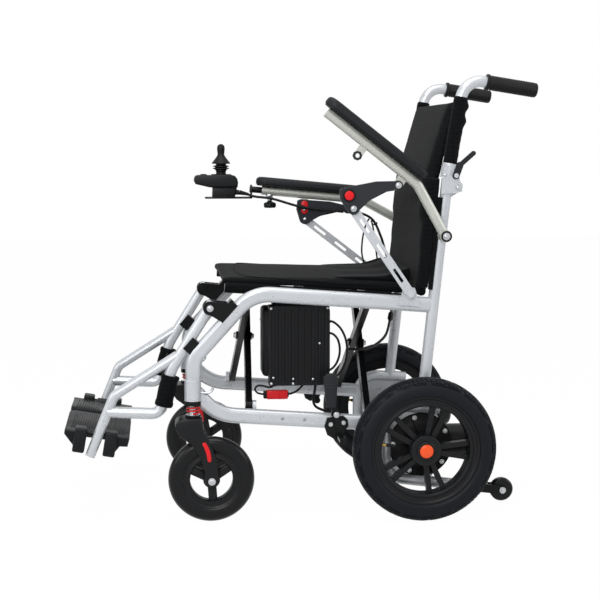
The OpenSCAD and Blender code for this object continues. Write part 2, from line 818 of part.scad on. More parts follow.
foot_at = -2;
foot_slot = 40;
knuckle_w = 24;

module legrest(s) {
    color(paint) difference() {
        union() {
            side(s) run(leg_x, leg_pts, leg_rad) circle(d = leg_d);
            side(s) run(leg_x, foot_pts, foot_rad) circle(d = foot_d);
            foot(s) along(0, foot_at - knuckle_w / 2, foot_at + knuckle_w / 2, 0, 8);
            foot(s) along(0, foot_at - foot_slot / 2 - 25, foot_at + foot_slot / 2 + 25, 0, plate_pin_r);
        }
        side(s) cross_pin(leg_pivot, leg_x - 20, leg_x + 20, leg_pin_r + run_fit);
    }
}

module legrest_left() legrest(1);
module legrest_right() legrest(-1);

// Footplate with its clamp blocks before and behind the tube.
module footplate(s) {
    color(black) foot(s) difference() {
        union() {
            translate([-(plate_axis_x - plate_in) / 2 + 4, 0, -plate_th + 1]) linear_extrude(plate_th)
                slab([plate_axis_x - plate_in + 8, plate_len], 18);
            for (y = [foot_at - foot_slot / 2 - 25, foot_at + foot_slot / 2]) {
                along(0, y, y + 25, 0, 8);
                translate([-8, y, -44]) cube([34, 25, 36]);
            }
            for (i = [0 : 5])
                translate([-168, -58 + i * 22, 1]) cube([140, 6, 2.5]);
        }
        along(0, -100, 100, 0, plate_pin_r + run_fit);
        translate([-14, foot_at - foot_slot / 2, -60]) cube([60, foot_slot, 80]);
    }
}

module footplate_left() footplate(1);
module footplate_right() footplate(-1);

// Band behind the calves with a sleeve on each hanger tube.
module calf_strap() {
    d = unit(leg_pts[2] - leg_pts[1]);
    a = leg_pts[1] + 22 * d;
    b = leg_pts[1] + 76 * d;
    color(fabric) side(1) difference() {
        union() {
            for (x = [-leg_x, leg_x])
                run(x, [a, b], [0, 0]) circle(leg_d / 2 + 3.4);
            yz(-leg_x, 2 * leg_x) polygon([a + [-3, 0], b + [-3, 0], b + [3, 0], a + [3, 0]]);
        }
        for (x = [-leg_x, leg_x])
            run(x, [a - 20 * d, b + 20 * d], [0, 0]) circle(leg_d / 2 + gap);
    }
}

// Sliding rod and tray that carry the joystick.
module joystick_mount() {
    d = unit(arm_end - arm_bend);
    q = arm_pivot + arm_end;
    color(black) side(-1) {
        run(arm_x, [q - 70 * d, q + 48 * d], [0, 0]) circle(8);
        translate([arm_x - 10, -364, 684]) cube([26, 7, 34]);
        translate([arm_x - 16, -455, 684]) cube([32, 98, 5]);
    }
}

module joystick_housing() {
    color(black) side(-1) difference() {
        union() {
            translate([arm_x, -409, 689]) linear_extrude(26) slab([48, 62], 8);
            translate([arm_x, -421, 714]) linear_extrude(28) slab([62, 106], 16);
            along(arm_x - 16, -380, -371, 700, 6);
        }
        translate([arm_x, stick_y, 716]) cylinder(h = 40, r = 22);
        for (x = [-13, 13])
            translate([arm_x + x, -458, 735]) cylinder(h = 20, r = 6 + gap);
    }
}

module joystick_gimbal() {
    color(steel) side(-1) translate([arm_x, stick_y, stick_z]) {
        rotate_extrude() translate([9, -3]) square([4, 6]);
        for (a = [0, 180])
            rotate([0, 0, a]) translate([12, 0, 0]) rotate([0, 90, 0]) cylinder(h = 9, r = 2);
    }
}

// Stick with the bellows collar and the domed knob.
module joystick_stick() {
    color(black) side(-1) translate([arm_x, stick_y, stick_z]) {
        translate([0, 0, -6]) cylinder(h = 70, r = 3.5);
        for (a = [90, 270])
            rotate([0, 0, a]) translate([2, 0, 0]) rotate([0, 90, 0]) cylinder(h = 6.6, r = 1.8);
        rotate_extrude() polygon([[0, 24], [17, 24], [17, 27], [13, 30], [16, 33], [12, 36], [15, 39],
            [11, 42], [11, 49], [22, 50], [22, 52], [16, 55], [11, 61], [9, 68], [0, 68]]);
        translate([0, 0, 60]) cylinder(h = 18, r1 = 8.5, r2 = 9.5);
        translate([0, 0, 78]) sphere(r = 9.5);
    }
}

module power_button() {
    color(red) side(-1) translate([arm_x + 13, -458, 737]) cylinder(h = 7.5, r = 6);
}

module horn_button() {
    color(black) side(-1) translate([arm_x - 13, -458, 737]) cylinder(h = 7.5, r = 6);
}

// Hand knob of the joystick clamp.
module clamp_knob() {
    color(black) arm(-1) translate([arm_x, arm_end[0] + 20, arm_end[1] - 21]) {
        translate([0, 0, -8]) cylinder(h = 8, r = 5);
        translate([0, 0, -22]) cylinder(h = 15, r = 13);
        for (k = [0 : 3])
            rotate([0, 0, 90 * k]) translate([11.5, 0, -22]) cylinder(h = 15, r = 5);
    }
}

side_frame_left();
side_frame_right();
motor_left();
motor_right();
frame_mounts_left();
frame_mounts_right();
battery_pack();
controller_box();
battery_leads();
joystick_cable();
cross_brace_a();
cross_brace_b();
seat_cushion();
back_upholstery_lower();
back_upholstery_upper();
back_tube_left();
back_tube_right();
hand_grip_left();
hand_grip_right();
back_lever_left();
back_lever_right();
arm_tube_left();
arm_tube_right();
arm_pad_left();
arm_pad_right();
latch_arm_left();
latch_arm_right();
latch_button_left();
latch_button_right();
arm_link_left();
arm_link_right();
rear_tyre_left();
rear_tyre_right();
rear_rim_left();
rear_rim_right();
caster_stem_left();
caster_stem_right();
caster_spring_left();
caster_spring_right();
caster_fork_left();
caster_fork_right();
caster_wheel_left();
caster_wheel_right();
antitip_wheel_left();
antitip_wheel_right();
brake_lever_left();
brake_lever_right();
legrest_left();
legrest_right();
footplate_left();
footplate_right();
calf_strap();
joystick_mount();
joystick_housing();
joystick_gimbal();
joystick_stick();
power_button();
horn_button();
clamp_knob();
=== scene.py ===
import math

import bmesh
import bpy
from mathutils import Matrix, Vector
from mathutils.bvhtree import BVHTree


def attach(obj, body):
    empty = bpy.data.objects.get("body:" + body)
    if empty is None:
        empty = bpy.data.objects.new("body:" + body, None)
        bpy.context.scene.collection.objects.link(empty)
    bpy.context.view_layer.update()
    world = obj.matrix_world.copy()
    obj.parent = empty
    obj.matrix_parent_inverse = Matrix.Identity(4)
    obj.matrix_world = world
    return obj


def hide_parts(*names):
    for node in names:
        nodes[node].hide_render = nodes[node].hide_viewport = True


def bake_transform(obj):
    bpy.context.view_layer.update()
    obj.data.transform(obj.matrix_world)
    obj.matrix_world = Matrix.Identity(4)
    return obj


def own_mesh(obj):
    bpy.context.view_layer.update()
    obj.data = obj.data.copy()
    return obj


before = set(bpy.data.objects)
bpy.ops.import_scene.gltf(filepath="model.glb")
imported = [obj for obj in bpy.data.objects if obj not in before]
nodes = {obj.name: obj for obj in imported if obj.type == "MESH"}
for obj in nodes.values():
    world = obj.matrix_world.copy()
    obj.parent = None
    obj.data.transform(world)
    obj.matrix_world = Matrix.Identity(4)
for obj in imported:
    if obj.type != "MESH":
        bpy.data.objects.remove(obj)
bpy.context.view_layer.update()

# The studio: a pale floor that runs to white behind the chair, four soft lamps overhead, beside
# the camera and at both ends, and a long lens at the height of the armrests, square to the left side.
AXLE = 0.267


def linear(code):
    parts = [int(code[i:i + 2], 16) / 255 for i in (1, 3, 5)]
    return tuple(c / 12.92 if c <= 0.04045 else ((c + 0.055) / 1.055) ** 2.4 for c in parts) + (1.0,)


def add(tree, kind, inputs=None, **settings):
    node = tree.nodes.new(kind)
    for key, value in settings.items():
        setattr(node, key, value)
    for key, value in (inputs or {}).items():
        if isinstance(value, bpy.types.NodeSocket):
            tree.links.new(value, node.inputs[key])
        else:
            node.inputs[key].default_value = value
    return node


scene = bpy.context.scene
scene.view_settings.view_transform = "Standard"
camera = bpy.data.objects.new("camera", bpy.data.cameras.new("camera"))
camera.data.sensor_width = 36
camera.data.lens = 84.18
camera.matrix_world = Matrix(((0.103573, -0.109914, 0.988529, 3.2179),
                              (0.994621, 0.011446, -0.102939, -0.3132),
                              (0.0, 0.993875, 0.110508, 0.8177),
                              (0, 0, 0, 1)))
scene.collection.objects.link(camera)
scene.camera = camera

world = bpy.data.worlds.new("studio_air")
world.use_nodes = True
scene.world = world
tree = world.node_tree
tree.nodes.clear()
rays = add(tree, "ShaderNodeLightPath")
seen = add(tree, "ShaderNodeMath", {0: rays.outputs["Is Camera Ray"], 1: rays.outputs["Is Glossy Ray"]},
           operation="MAXIMUM")
seen = add(tree, "ShaderNodeMath", {0: seen.outputs[0], 1: rays.outputs["Is Transmission Ray"]},
           operation="MAXIMUM")
dim = add(tree, "ShaderNodeBackground", {"Color": (1, 1, 1, 1), "Strength": 0.36})
bright = add(tree, "ShaderNodeBackground", {"Color": (1, 1, 1, 1), "Strength": 1.0})
air = add(tree, "ShaderNodeMixShader", {0: seen.outputs[0], 1: dim.outputs[0], 2: bright.outputs[0]})
add(tree, "ShaderNodeOutputWorld", {"Surface": air.outputs[0]})

bm = bmesh.new()
bmesh.ops.create_grid(bm, x_segments=1, y_segments=1, size=9)
floor = bpy.data.objects.new("studio_floor", bpy.data.meshes.new("studio_floor"))
bm.to_mesh(floor.data)
bm.free()
scene.collection.objects.link(floor)
paper = bpy.data.materials.new("white_paper_sweep")
paper.use_nodes = True
tree = paper.node_tree
tree.nodes.clear()
rays = add(tree, "ShaderNodeLightPath")
seen = add(tree, "ShaderNodeMath", {0: rays.outputs["Is Camera Ray"], 1: rays.outputs["Is Glossy Ray"]},
           operation="MAXIMUM")
seen = add(tree, "ShaderNodeMath", {0: seen.outputs[0], 1: rays.outputs["Is Transmission Ray"]},
           operation="MAXIMUM")
share = add(tree, "ShaderNodeMath", {0: seen.outputs[0], 1: 0.985}, operation="MULTIPLY")
sheet = add(tree, "ShaderNodeBsdfDiffuse", {"Color": linear("#f4f4f4")})
glow = add(tree, "ShaderNodeEmission", {"Color": (1, 1, 1, 1), "Strength": 1.0})
mix = add(tree, "ShaderNodeMixShader", {0: share.outputs[0], 1: sheet.outputs[0], 2: glow.outputs[0]})
add(tree, "ShaderNodeOutputMaterial", {"Surface": mix.outputs[0]})
floor.data.materials.append(paper)

for name, spot, aim, size, power in (
        ("softbox_top", (0.6, -0.2, 2.9), (0, 0, 0.4), 2.0, 44),
        ("softbox_key", (3.0, -0.9, 1.9), (0, 0, 0.5), 1.3, 58),
        ("softbox_front", (1.2, -2.8, 1.6), (0, 0, 0.5), 1.4, 22),
        ("softbox_back", (1.0, 2.8, 1.6), (0, 0.1, 0.5), 1.4, 20)):
    lamp = bpy.data.objects.new(name, bpy.data.lights.new(name, "AREA"))
    lamp.data.size = size
    lamp.data.energy = power
    lamp.location = spot
    lamp.rotation_euler = (Vector(aim) - Vector(spot)).to_track_quat("-Z", "Y").to_euler()
    scene.collection.objects.link(lamp)

# Joystick cable: a round lead in a black PVC jacket. It leaves the strain relief behind the joystick,
# follows the arm tube to a rubber sleeve, drops past the back post and ends in a connector under the
# seat, from which a last length goes on to the battery.


def mm(x, y, z):
    return Vector((x / 1000, y / 1000 + AXLE, z / 1000))


def finish(name, base, rough, metallic=0.0, gloss=0.16, grain_mm=1.0, bump_mm=0.01, tint=0.06, edge_mm=0.5):
    made = bpy.data.materials.new(name)
    made.use_nodes = True
    tree = made.node_tree
    tree.nodes.clear()
    spot = add(tree, "ShaderNodeTexCoord")
    grain = add(tree, "ShaderNodeTexNoise", {"Vector": spot.outputs["Object"], "Scale": 500 / grain_mm,
                                             "Detail": 2.0})
    cloud = add(tree, "ShaderNodeTexNoise", {"Vector": spot.outputs["Object"], "Scale": 18.0,
                                             "Detail": 3.0})
    r, g, b, _ = linear(base)
    low = tuple(max(0.0, c * (1 - tint)) for c in (r, g, b)) + (1.0,)
    high = tuple(min(1.0, c * (1 + tint)) for c in (r, g, b)) + (1.0,)
    colour = add(tree, "ShaderNodeMix", {"Factor": cloud.outputs["Fac"], 6: low, 7: high}, data_type="RGBA")
    sheen = add(tree, "ShaderNodeMapRange", {"Value": cloud.outputs["Fac"], "From Min": 0.3,
                                             "From Max": 0.7,
                                             "To Min": max(0.02, rough - 0.06), "To Max": rough + 0.06})
    edge = add(tree, "ShaderNodeBevel", {"Radius": edge_mm / 1000}, samples=4)
    bump = add(tree, "ShaderNodeBump", {"Strength": 1.0, "Distance": bump_mm / 1000,
                                        "Height": grain.outputs["Fac"], "Normal": edge.outputs["Normal"]})
    shader = add(tree, "ShaderNodeBsdfPrincipled", {"Base Color": colour.outputs[2],
                                                    "Roughness": sheen.outputs["Result"],
                                                    "Metallic": metallic, "Specular IOR Level": gloss,
                                                    "Normal": bump.outputs["Normal"]})
    add(tree, "ShaderNodeOutputMaterial", {"Surface": shader.outputs[0]})
    return made


# Extruded PVC: even and faintly waxy, with almost no grain.
pvc_jacket = finish("extruded_pvc_jacket", "#0c0c0e", 0.4, grain_mm=2.0, bump_mm=0.01, tint=0.1)
# Moulded black ABS: a fine spark-eroded grain that keeps it from shining.
black_abs = finish("moulded_black_abs", "#0f1012", 0.42, grain_mm=0.9, bump_mm=0.03)


def settle(name, mesh, material, body, angle=35):
    if isinstance(mesh, bmesh.types.BMesh):
        made = bpy.data.meshes.new(name)
        mesh.to_mesh(made)
        mesh.free()
        mesh = made
    mesh.name = name
    mesh.shade_smooth()
    mesh.set_sharp_from_angle(angle=math.radians(angle))
    mesh.materials.clear()
    mesh.materials.append(material)
    piece = bpy.data.objects.new(name, mesh)
    scene.collection.objects.link(piece)
    if body:
        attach(piece, body)
    return piece


def smooth_path(points, steps):
    track = []
    for i in range(len(points) - 1):
        a, b, c, d = points[max(i - 1, 0)], points[i], points[i + 1], points[min(i + 2, len(points) - 1)]
        for k in range(steps):
            t = k / steps
            track.append(0.5 * (2 * b + (c - a) * t + (2 * a - 5 * b + 4 * c - d) * t * t
                                + (3 * b - a - 3 * c + d) * t ** 3))
    return track + [points[-1]]


def tube(name, track, radius, material, body=None):
    line = bpy.data.curves.new(name, "CURVE")
    line.dimensions = "3D"
    line.bevel_depth = radius
    line.bevel_resolution = 3
    line.use_fill_caps = True
    spline = line.splines.new("POLY")
    spline.points.add(len(track) - 1)
    for spot, p in zip(spline.points, track):
        spot.co = (*p, 1)
    rough = bpy.data.objects.new(name + "_line", line)
    scene.collection.objects.link(rough)
    bpy.context.view_layer.update()
    mesh = bpy.data.meshes.new_from_object(rough.evaluated_get(bpy.context.evaluated_depsgraph_get()))
    bpy.data.objects.remove(rough)
    bm = bmesh.new()
    bm.from_mesh(mesh)
    bmesh.ops.remove_doubles(bm, verts=bm.verts, dist=1e-6)
    return settle(name, bm, material, body, 60)


def turned(profile, at, axis, steps=48):
    bm = bmesh.new()
    line = [bm.verts.new((r / 1000, 0, h / 1000)) for r, h in profile]
    for a, b in zip(line, line[1:]):
        bm.edges.new((a, b))
    bmesh.ops.spin(bm, geom=bm.verts[:] + bm.edges[:], cent=(0, 0, 0), axis=(0, 0, 1), angle=math.tau,
                   steps=steps, use_merge=True)
    bmesh.ops.remove_doubles(bm, verts=bm.verts, dist=1e-6)
    bmesh.ops.recalc_face_normals(bm, faces=bm.faces)
    turn = Vector(axis).to_track_quat("Z", "Y").to_matrix().to_4x4()
    turn.translation = at
    bmesh.ops.transform(bm, matrix=turn, verts=bm.verts)
    return bm


cable_route = smooth_path([mm(*p) for p in (
    (-224, -370.6, 700), (-224, -358, 698), (-222, -335, 690), (-217, -290, 684), (-221, -220, 664),
    (-221, -150, 655), (-221, -90, 652), (-220, -44, 634), (-216, -22, 592), (-214.5, -11, 556),
    (-206, -2, 521), (-150, -8, 470), (-60, -20, 420))], 6)
arm_route, drop_route = cable_route[:25], cable_route[24:]
under_route = smooth_path([mm(*p) for p in (
    (-28, -29, 404), (30, -50, 375), (84, -90, 358), (106, -125, 356), (110, -149, 358))], 8)
arm_lead = tube("arm_lead", arm_route, 0.0032, pvc_jacket)
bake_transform(arm_lead)
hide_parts("joystick_cable")
drop_lead = tube("drop_lead", drop_route, 0.0032, pvc_jacket)
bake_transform(drop_lead)
under_lead = tube("under_seat_lead", under_route, 0.0032, pvc_jacket, "left_frame")
strain_relief = settle("strain_relief", turned(
    ((3.3, 0), (6, 0), (6, 2), (5.3, 3), (5.6, 5), (4.9, 6.5), (5.2, 8.5), (4.5, 10), (4.8, 12),
     (4.1, 13.5),
     (4.4, 15.5), (3.8, 17), (4, 20), (3.3, 22), (3.3, 0)), arm_route[0], arm_route[8] - arm_route[0], 24),
    black_abs, "joystick")
cable_sleeve = settle("cable_sleeve", turned(
    ((3.3, -9), (4.2, -9), (4.8, -8.2), (4.8, 8.2), (4.2, 9), (3.3, 9), (3.3, -9)), cable_route[24],
    cable_route[26] - cable_route[22], 24), black_abs, "armrest_right")
inline_connector = settle("inline_connector", turned(
    ((0, -19), (3.2, -19), (4.2, -18), (5.6, -10), (6.6, -9.6), (6.6, -1), (6.1, -0.6), (6.1, 0.6),
     (6.6, 1),
     (6.6, 9.6), (5.6, 10), (4.2, 18), (3.2, 19), (0, 19)), mm(-44, -24.5, 412), mm(-28, -29, 404)
    - mm(-60, -20, 420), 24), black_abs, "left_frame")

# Side strands: two thin leads branch off the cable at a nylon tie beside the right post and go down
# into rubber grommets on the seat rail.


def add_in(bm, other):
    mesh = bpy.data.meshes.new("joined")
    other.to_mesh(mesh)
    other.free()
    bm.from_mesh(mesh)
    bpy.data.meshes.remove(mesh)
    return bm


tie = settle("cable_tie", turned(((3.3, -2.2), (5.2, -2.2), (5.6, -1.6), (5.6, 1.6), (5.2, 2.2), (3.3, 2.2),
                                  (3.3, -2.2)), drop_route[20], drop_route[22] - drop_route[18], 20),
             black_abs,
             None)
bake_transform(tie)
strand_ends = []
for name, points in (
        ("front_strand", ((-220, -50, 634), (-219, -58, 620), (-217, -66, 590), (-215, -69, 553),
                          (-213, -64, 525),
                          (-212, -60, 501), (-212, -60, 492))),
        ("middle_strand", ((-219, -45, 630), (-217, -41, 614), (-215, -38, 590), (-213, -33, 553),
                           (-212, -29, 520),
                           (-212, -28, 498), (-212, -28, 489)))):
    route = smooth_path([mm(*p) for p in points], 6)
    strand = tube(name, route, 0.0021, pvc_jacket)
    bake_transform(strand)
    strand_ends.append(route[-1])
bm = bmesh.new()
for end in strand_ends:
    add_in(bm, turned(((2.2, 12), (3.6, 12), (4.4, 10), (4.4, 5), (6.4, 3.6), (6.4, -3), (2.2, -3),
                       (2.2, 12)), end,
                      (0, 0, 1), 20))
settle("strand_grommets", bm, black_abs, "right_frame")

# Supply leads: two twin black leads under the controller, joined by a power connector moulded in a
# black and a red half with finger ribs, and held by the stiffness of the leads. Two loops go from its
# rear face back to its foot, and one lead hangs down to the motor.
red_abs = finish("moulded_red_abs", "#c4141b", 0.35, gloss=0.25, grain_mm=1.2, bump_mm=0.015)


def block(size, at, round_mm, segments=3):
    bm = bmesh.new()
    bmesh.ops.create_cube(bm, size=1, matrix=Matrix.Translation(at)
                          @ Matrix.Diagonal((size[0] / 1000, size[1] / 1000, size[2] / 1000, 1)))
    bmesh.ops.bevel(bm, geom=bm.edges[:], offset=round_mm / 1000, affect="EDGES", segments=segments,
                    profile=0.5,
                    material=-1)
    return bm


bm = block((16, 47, 20), mm(162, -313, 266.5), 2.4)
for y in (-299, -304, -309):
    add_in(bm, block((16.8, 2, 20.8), mm(162, y, 266.5), 0.6, 2))
power_connector = settle("power_connector", bm, red_abs, "left_frame")
bm = block((14, 9, 17), mm(162, -339, 266.5), 2)
add_in(bm, block((13, 5, 12), mm(162, -290, 266.5), 1.4))
connector_end = settle("connector_black_half", bm, black_abs, "left_frame")
for name, points, x in (
        ("supply_lead_outer", ((172, -322, 287.2), (171, -332, 284), (168, -345, 287), (165, -356, 287),
                               (163, -362, 280), (162, -358, 271.5), (162, -348, 268),
                               (162, -334.5, 266.5)), 2.1),
        ("supply_lead_inner", ((172, -322, 287.2), (171, -332, 284), (168, -345, 287), (165, -356, 287),
                               (163, -362, 280), (162, -358, 271.5), (162, -348, 268),
                               (162, -334.5, 266.5)), -2.1),
        ("battery_tail_outer", ((162, -294.5, 266.5), (161, -282, 267.5), (152, -266, 273),
                                (138, -252, 284),
                                (124, -244, 294), (118, -240, 302)), 2.1),
        ("battery_tail_inner", ((162, -294.5, 266.5), (161, -282, 267.5), (152, -266, 273),
                                (138, -252, 284),
                                (124, -244, 294), (118, -240, 302)), -2.1)):
    route = [p + Vector((x / 1000, 0, 0)) for p in smooth_path([mm(*p) for p in points], 6)]
    lead = tube(name, route, 0.002, pvc_jacket, "left_frame")
    if name == "supply_lead_outer":
        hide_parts("battery_leads")
lead_exit = settle("controller_lead_exit", turned(((0, 3), (8, 3), (8, 0), (6.6, -2.4), (0, -2.4)),
                                                  mm(172, -321, 289.4),
                                                  (0, 0, 1), 24), black_abs, "left_frame")
for name, points in (
        ("outer_loop_lead", ((172, -201, 430), (172, -188, 427), (171, -172, 412), (170, -161, 388),
                             (169, -158, 360),
                             (168, -163, 333), (168, -176, 311), (168, -192, 298), (168, -206, 292))),
        ("inner_loop_lead", ((174, -201, 404), (174, -190, 401), (174, -180, 390), (173, -175, 372),
                             (173, -176, 352),
                             (173, -183, 334), (173, -193, 323), (173, -201, 320)))):
    route = smooth_path([mm(*p) for p in points], 6)
    lead = tube(name, route, 0.0026, pvc_jacket, "left_frame")
motor_route = smooth_path([mm(*p) for p in (
    (168, -228, 291), (168, -230, 272), (167, -233, 254), (166, -228, 239), (165, -212, 230),
                                            (164, -185, 221),
    (165, -145, 205), (167, -105, 184), (169, -70, 167), (170, -43, 160))], 6)
motor_lead = tube("motor_lead", motor_route, 0.003, pvc_jacket, "left_frame")

# Side frames: oval and round steel tube, bent, welded and powder coated in satin silver, with the
# motor plate between the tubes at the rear and the head tube for the caster at the front.
silver_coat = finish("satin_silver_powder_coat", "#b4b7bb", 0.3, metallic=0.35, gloss=0.5, grain_mm=2.4,
                     bump_mm=0.004,
                     tint=0.02, edge_mm=0.8)
# Zinc plate: bright, slightly blue, with cloudy patches from the bath.
zinc_steel = finish("zinc_plated_steel", "#b9bbbe", 0.3, metallic=0.95, gloss=0.5, grain_mm=0.7,
                    bump_mm=0.006, tint=0.08)
# Black enamel on steel brackets: smoother and a little shinier than the plastics.
black_enamel = finish("black_enamel_on_steel", "#0a0b0c", 0.28, grain_mm=2.0, bump_mm=0.012)
SIDES = (("left", 1), ("right", -1))


def dress(material, *names):
    for name in names:
        nodes[name].data.materials.clear()
        nodes[name].data.materials.append(material)


def bolts(name, spots, body, material):
    bm = bmesh.new()
    for at, axis, radius, height in spots:
        turn = Vector(axis).to_track_quat("Z", "Y").to_matrix().to_4x4()
        turn.translation = at + Vector(axis).normalized() * 0.0004
        head = bmesh.ops.create_cone(bm, cap_ends=True, segments=6, radius1=radius / 1000,
                                     radius2=radius / 1000,
                                     depth=height / 1000,
                                     matrix=turn @ Matrix.Translation((0, 0, (height / 2 + 0.8) / 1000)))
        top = [e for e in {e for v in head["verts"] for e in v.link_edges}
               if all((turn.inverted() @ v.co).z > height / 2000 for v in e.verts)]
        bmesh.ops.bevel(bm, geom=top, offset=radius * 0.16 / 1000, affect="EDGES", segments=2, profile=0.5,
                        material=-1)
        bmesh.ops.create_cone(bm, cap_ends=True, segments=24, radius1=radius * 1.5 / 1000,
                              radius2=radius * 1.42 / 1000, depth=1.2 / 1000,
                              matrix=turn @ Matrix.Translation((0, 0, 0.4 / 1000)))
    return settle(name, bm, material, body, 30)


def rivets(name, spots, body, material):
    bm = bmesh.new()
    for at, axis, r, h in spots:
        add_in(bm, turned(((0, h), (r * 0.45, h * 0.95), (r * 0.8, h * 0.66), (r, h * 0.12), (r, -0.5),
                           (0, -0.5)), at,
                          axis, 20))
    return settle(name, bm, material, body, 60)


dress(silver_coat, "side_frame_left", "side_frame_right")
dress(black_enamel, "frame_mounts_left", "frame_mounts_right")
for side, s in SIDES:
    out = Vector((s, 0, 0))
    spots = [(mm(s * 227, -462.7, 467), out, 5, 4), (mm(s * 228, 184, 52.5), out, 5, 4),
              (mm(s * 256, 44.8, 620.3), out, 5.5, 3.4), (mm(s * 237, -190, 232), out, 4.5, 3)]
    bolts("frame_bolts_" + side, spots, side + "_frame", zinc_steel)
    heads = rivets("brake_plate_rivets_" + side, [(mm(s * 227, -201, 209), out, 5.2, 0.35),
                                                  (mm(s * 227, -173, 212), out, 5.2, 0.35)],
                   side + "_frame",
                   zinc_steel)
    hook = smooth_path([mm(s * 222, y, z) for y, z in ((-485, 284), (-474, 283), (-465, 284.5), (-459, 289),
                                                       (-457, 295))], 4)
    tube("head_tube_hook_" + side, hook, 0.0028, zinc_steel, side + "_frame")
    ring = settle("arm_pivot_ring_" + side, turned(
        ((8.6, 15.6), (11.4, 15.6), (11.9, 16.2), (11.9, 18), (11.2, 18.8), (9.4, 18.8), (8.6, 18),
         (8.6, 15.6)),
        mm(s * 240, 44.8, 620.3), out), black_abs, side + "_frame")

# Motors: a round motor can across a cast gear case, painted black and bolted through each motor
# plate to
# a finned cover on its outer face. The can has two rolled bands and a domed end bell held by screws.
cast_paint = finish("black_paint_on_cast_metal", "#0d0e10", 0.42, gloss=0.2, grain_mm=1.4, bump_mm=0.05)
for side, s in SIDES:
    can = mm(s * 170, 0, 158)
    out = Vector((s, 0, 0))
    bm = turned(((0, -46), (14, -46), (20, -44), (22, -41), (22, -22), (24, -16), (30, -9), (36, 0),
                 (36, 22), (37.4, 22.6),
                 (37.4, 28), (36, 28.6), (36, 116), (37, 116.6), (37, 122), (35.6, 124), (33.4, 136),
                 (30, 142), (23, 146),
                 (9, 147.4), (0, 147.4)), can, (0, 1, 0))
    add_in(bm, turned(((0, -49), (22, -49), (34, -47), (41, -43), (43.6, -38), (44, -32), (44, -3.2),
                       (0, -3.2)),
                      mm(s * 212, 0, 158), out))
    add_in(bm, turned(((0, -4), (17, -4), (17, 6), (8.5, 6.4), (8.5, 68), (0, 68)), mm(s * 212, 0, 158),
                      out, 32))
    motor = settle("motor_and_gear_case_" + side, bm, cast_paint, side + "_frame", 40)
    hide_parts("motor_" + side)
    bm = turned(((17.4, 3.4), (17.4, 12), (22, 12.4), (26, 11), (28, 8.6), (46, 8), (52, 7), (56, 5.4),
                 (66, 5), (70, 4.2),
                 (71, 3.4), (17.4, 3.4)), mm(s * 212, 0, 158), out, 64)
    for k in range(10):
        fin = block((4, 30, 3), Vector((s * 0.2208, 0.042, 0)), 1.2, 2)
        bmesh.ops.transform(fin, matrix=Matrix.Translation(mm(0, 0, 158))
                            @ Matrix.Rotation(math.radians(36 * k), 4, "X"), verts=fin.verts)
        add_in(bm, fin)
    settle("gear_cover_" + side, bm, cast_paint, side + "_frame", 40)
    spots = [(mm(s * 217.2, 62 * math.cos(a), 158 + 62 * math.sin(a)), out, 3.6, 3.4) for a in (0.5, 1.8,
            3.1, 4.3, 5.6)]
    bolts("cover_bolts_" + side, spots, side + "_frame", zinc_steel)
    spots = [(can + Vector((0.017 * math.cos(a), 0.1464, 0.017 * math.sin(a))), (0, 1, 0), 3, 2.2)
             for a in (0.5, 2.6, 4.7)]
    rivets("motor_screws_" + side, spots, side + "_frame", zinc_steel)

# Cross braces: black enamelled steel bars that cross in pairs, with a round seat rail on each pair and
# a zinc plated bolt through every crossing.
dress(black_enamel, "cross_brace_a", "cross_brace_b")
BRACES = Matrix.Translation(mm(0, -254, 238.9)) @ Matrix.Rotation(math.radians(-4.3), 4, "X")
spots = []
for y in (-131.4, 131.4):
    for head, way in ((-19, -1), (17, 1)):
        spots.append((BRACES @ Vector((0, (y + head) / 1000, 0.128)),
                      BRACES.to_3x3() @ Vector((0, way, 0)), 6, 4.5))
bolts("brace_bolts", spots, "cross_brace_a", zinc_steel)

# Rear wheels: pneumatic tyres with a block tread on five-spoke nylon wheels, pressed on the motor
# shafts, each with a moulded orange hub cap and a brass tyre valve.
tyre_rubber = finish("vulcanised_tyre_rubber", "#0f1116", 0.5, gloss=0.14, grain_mm=1.5, bump_mm=0.05,
                     tint=0.15, edge_mm=0.4)
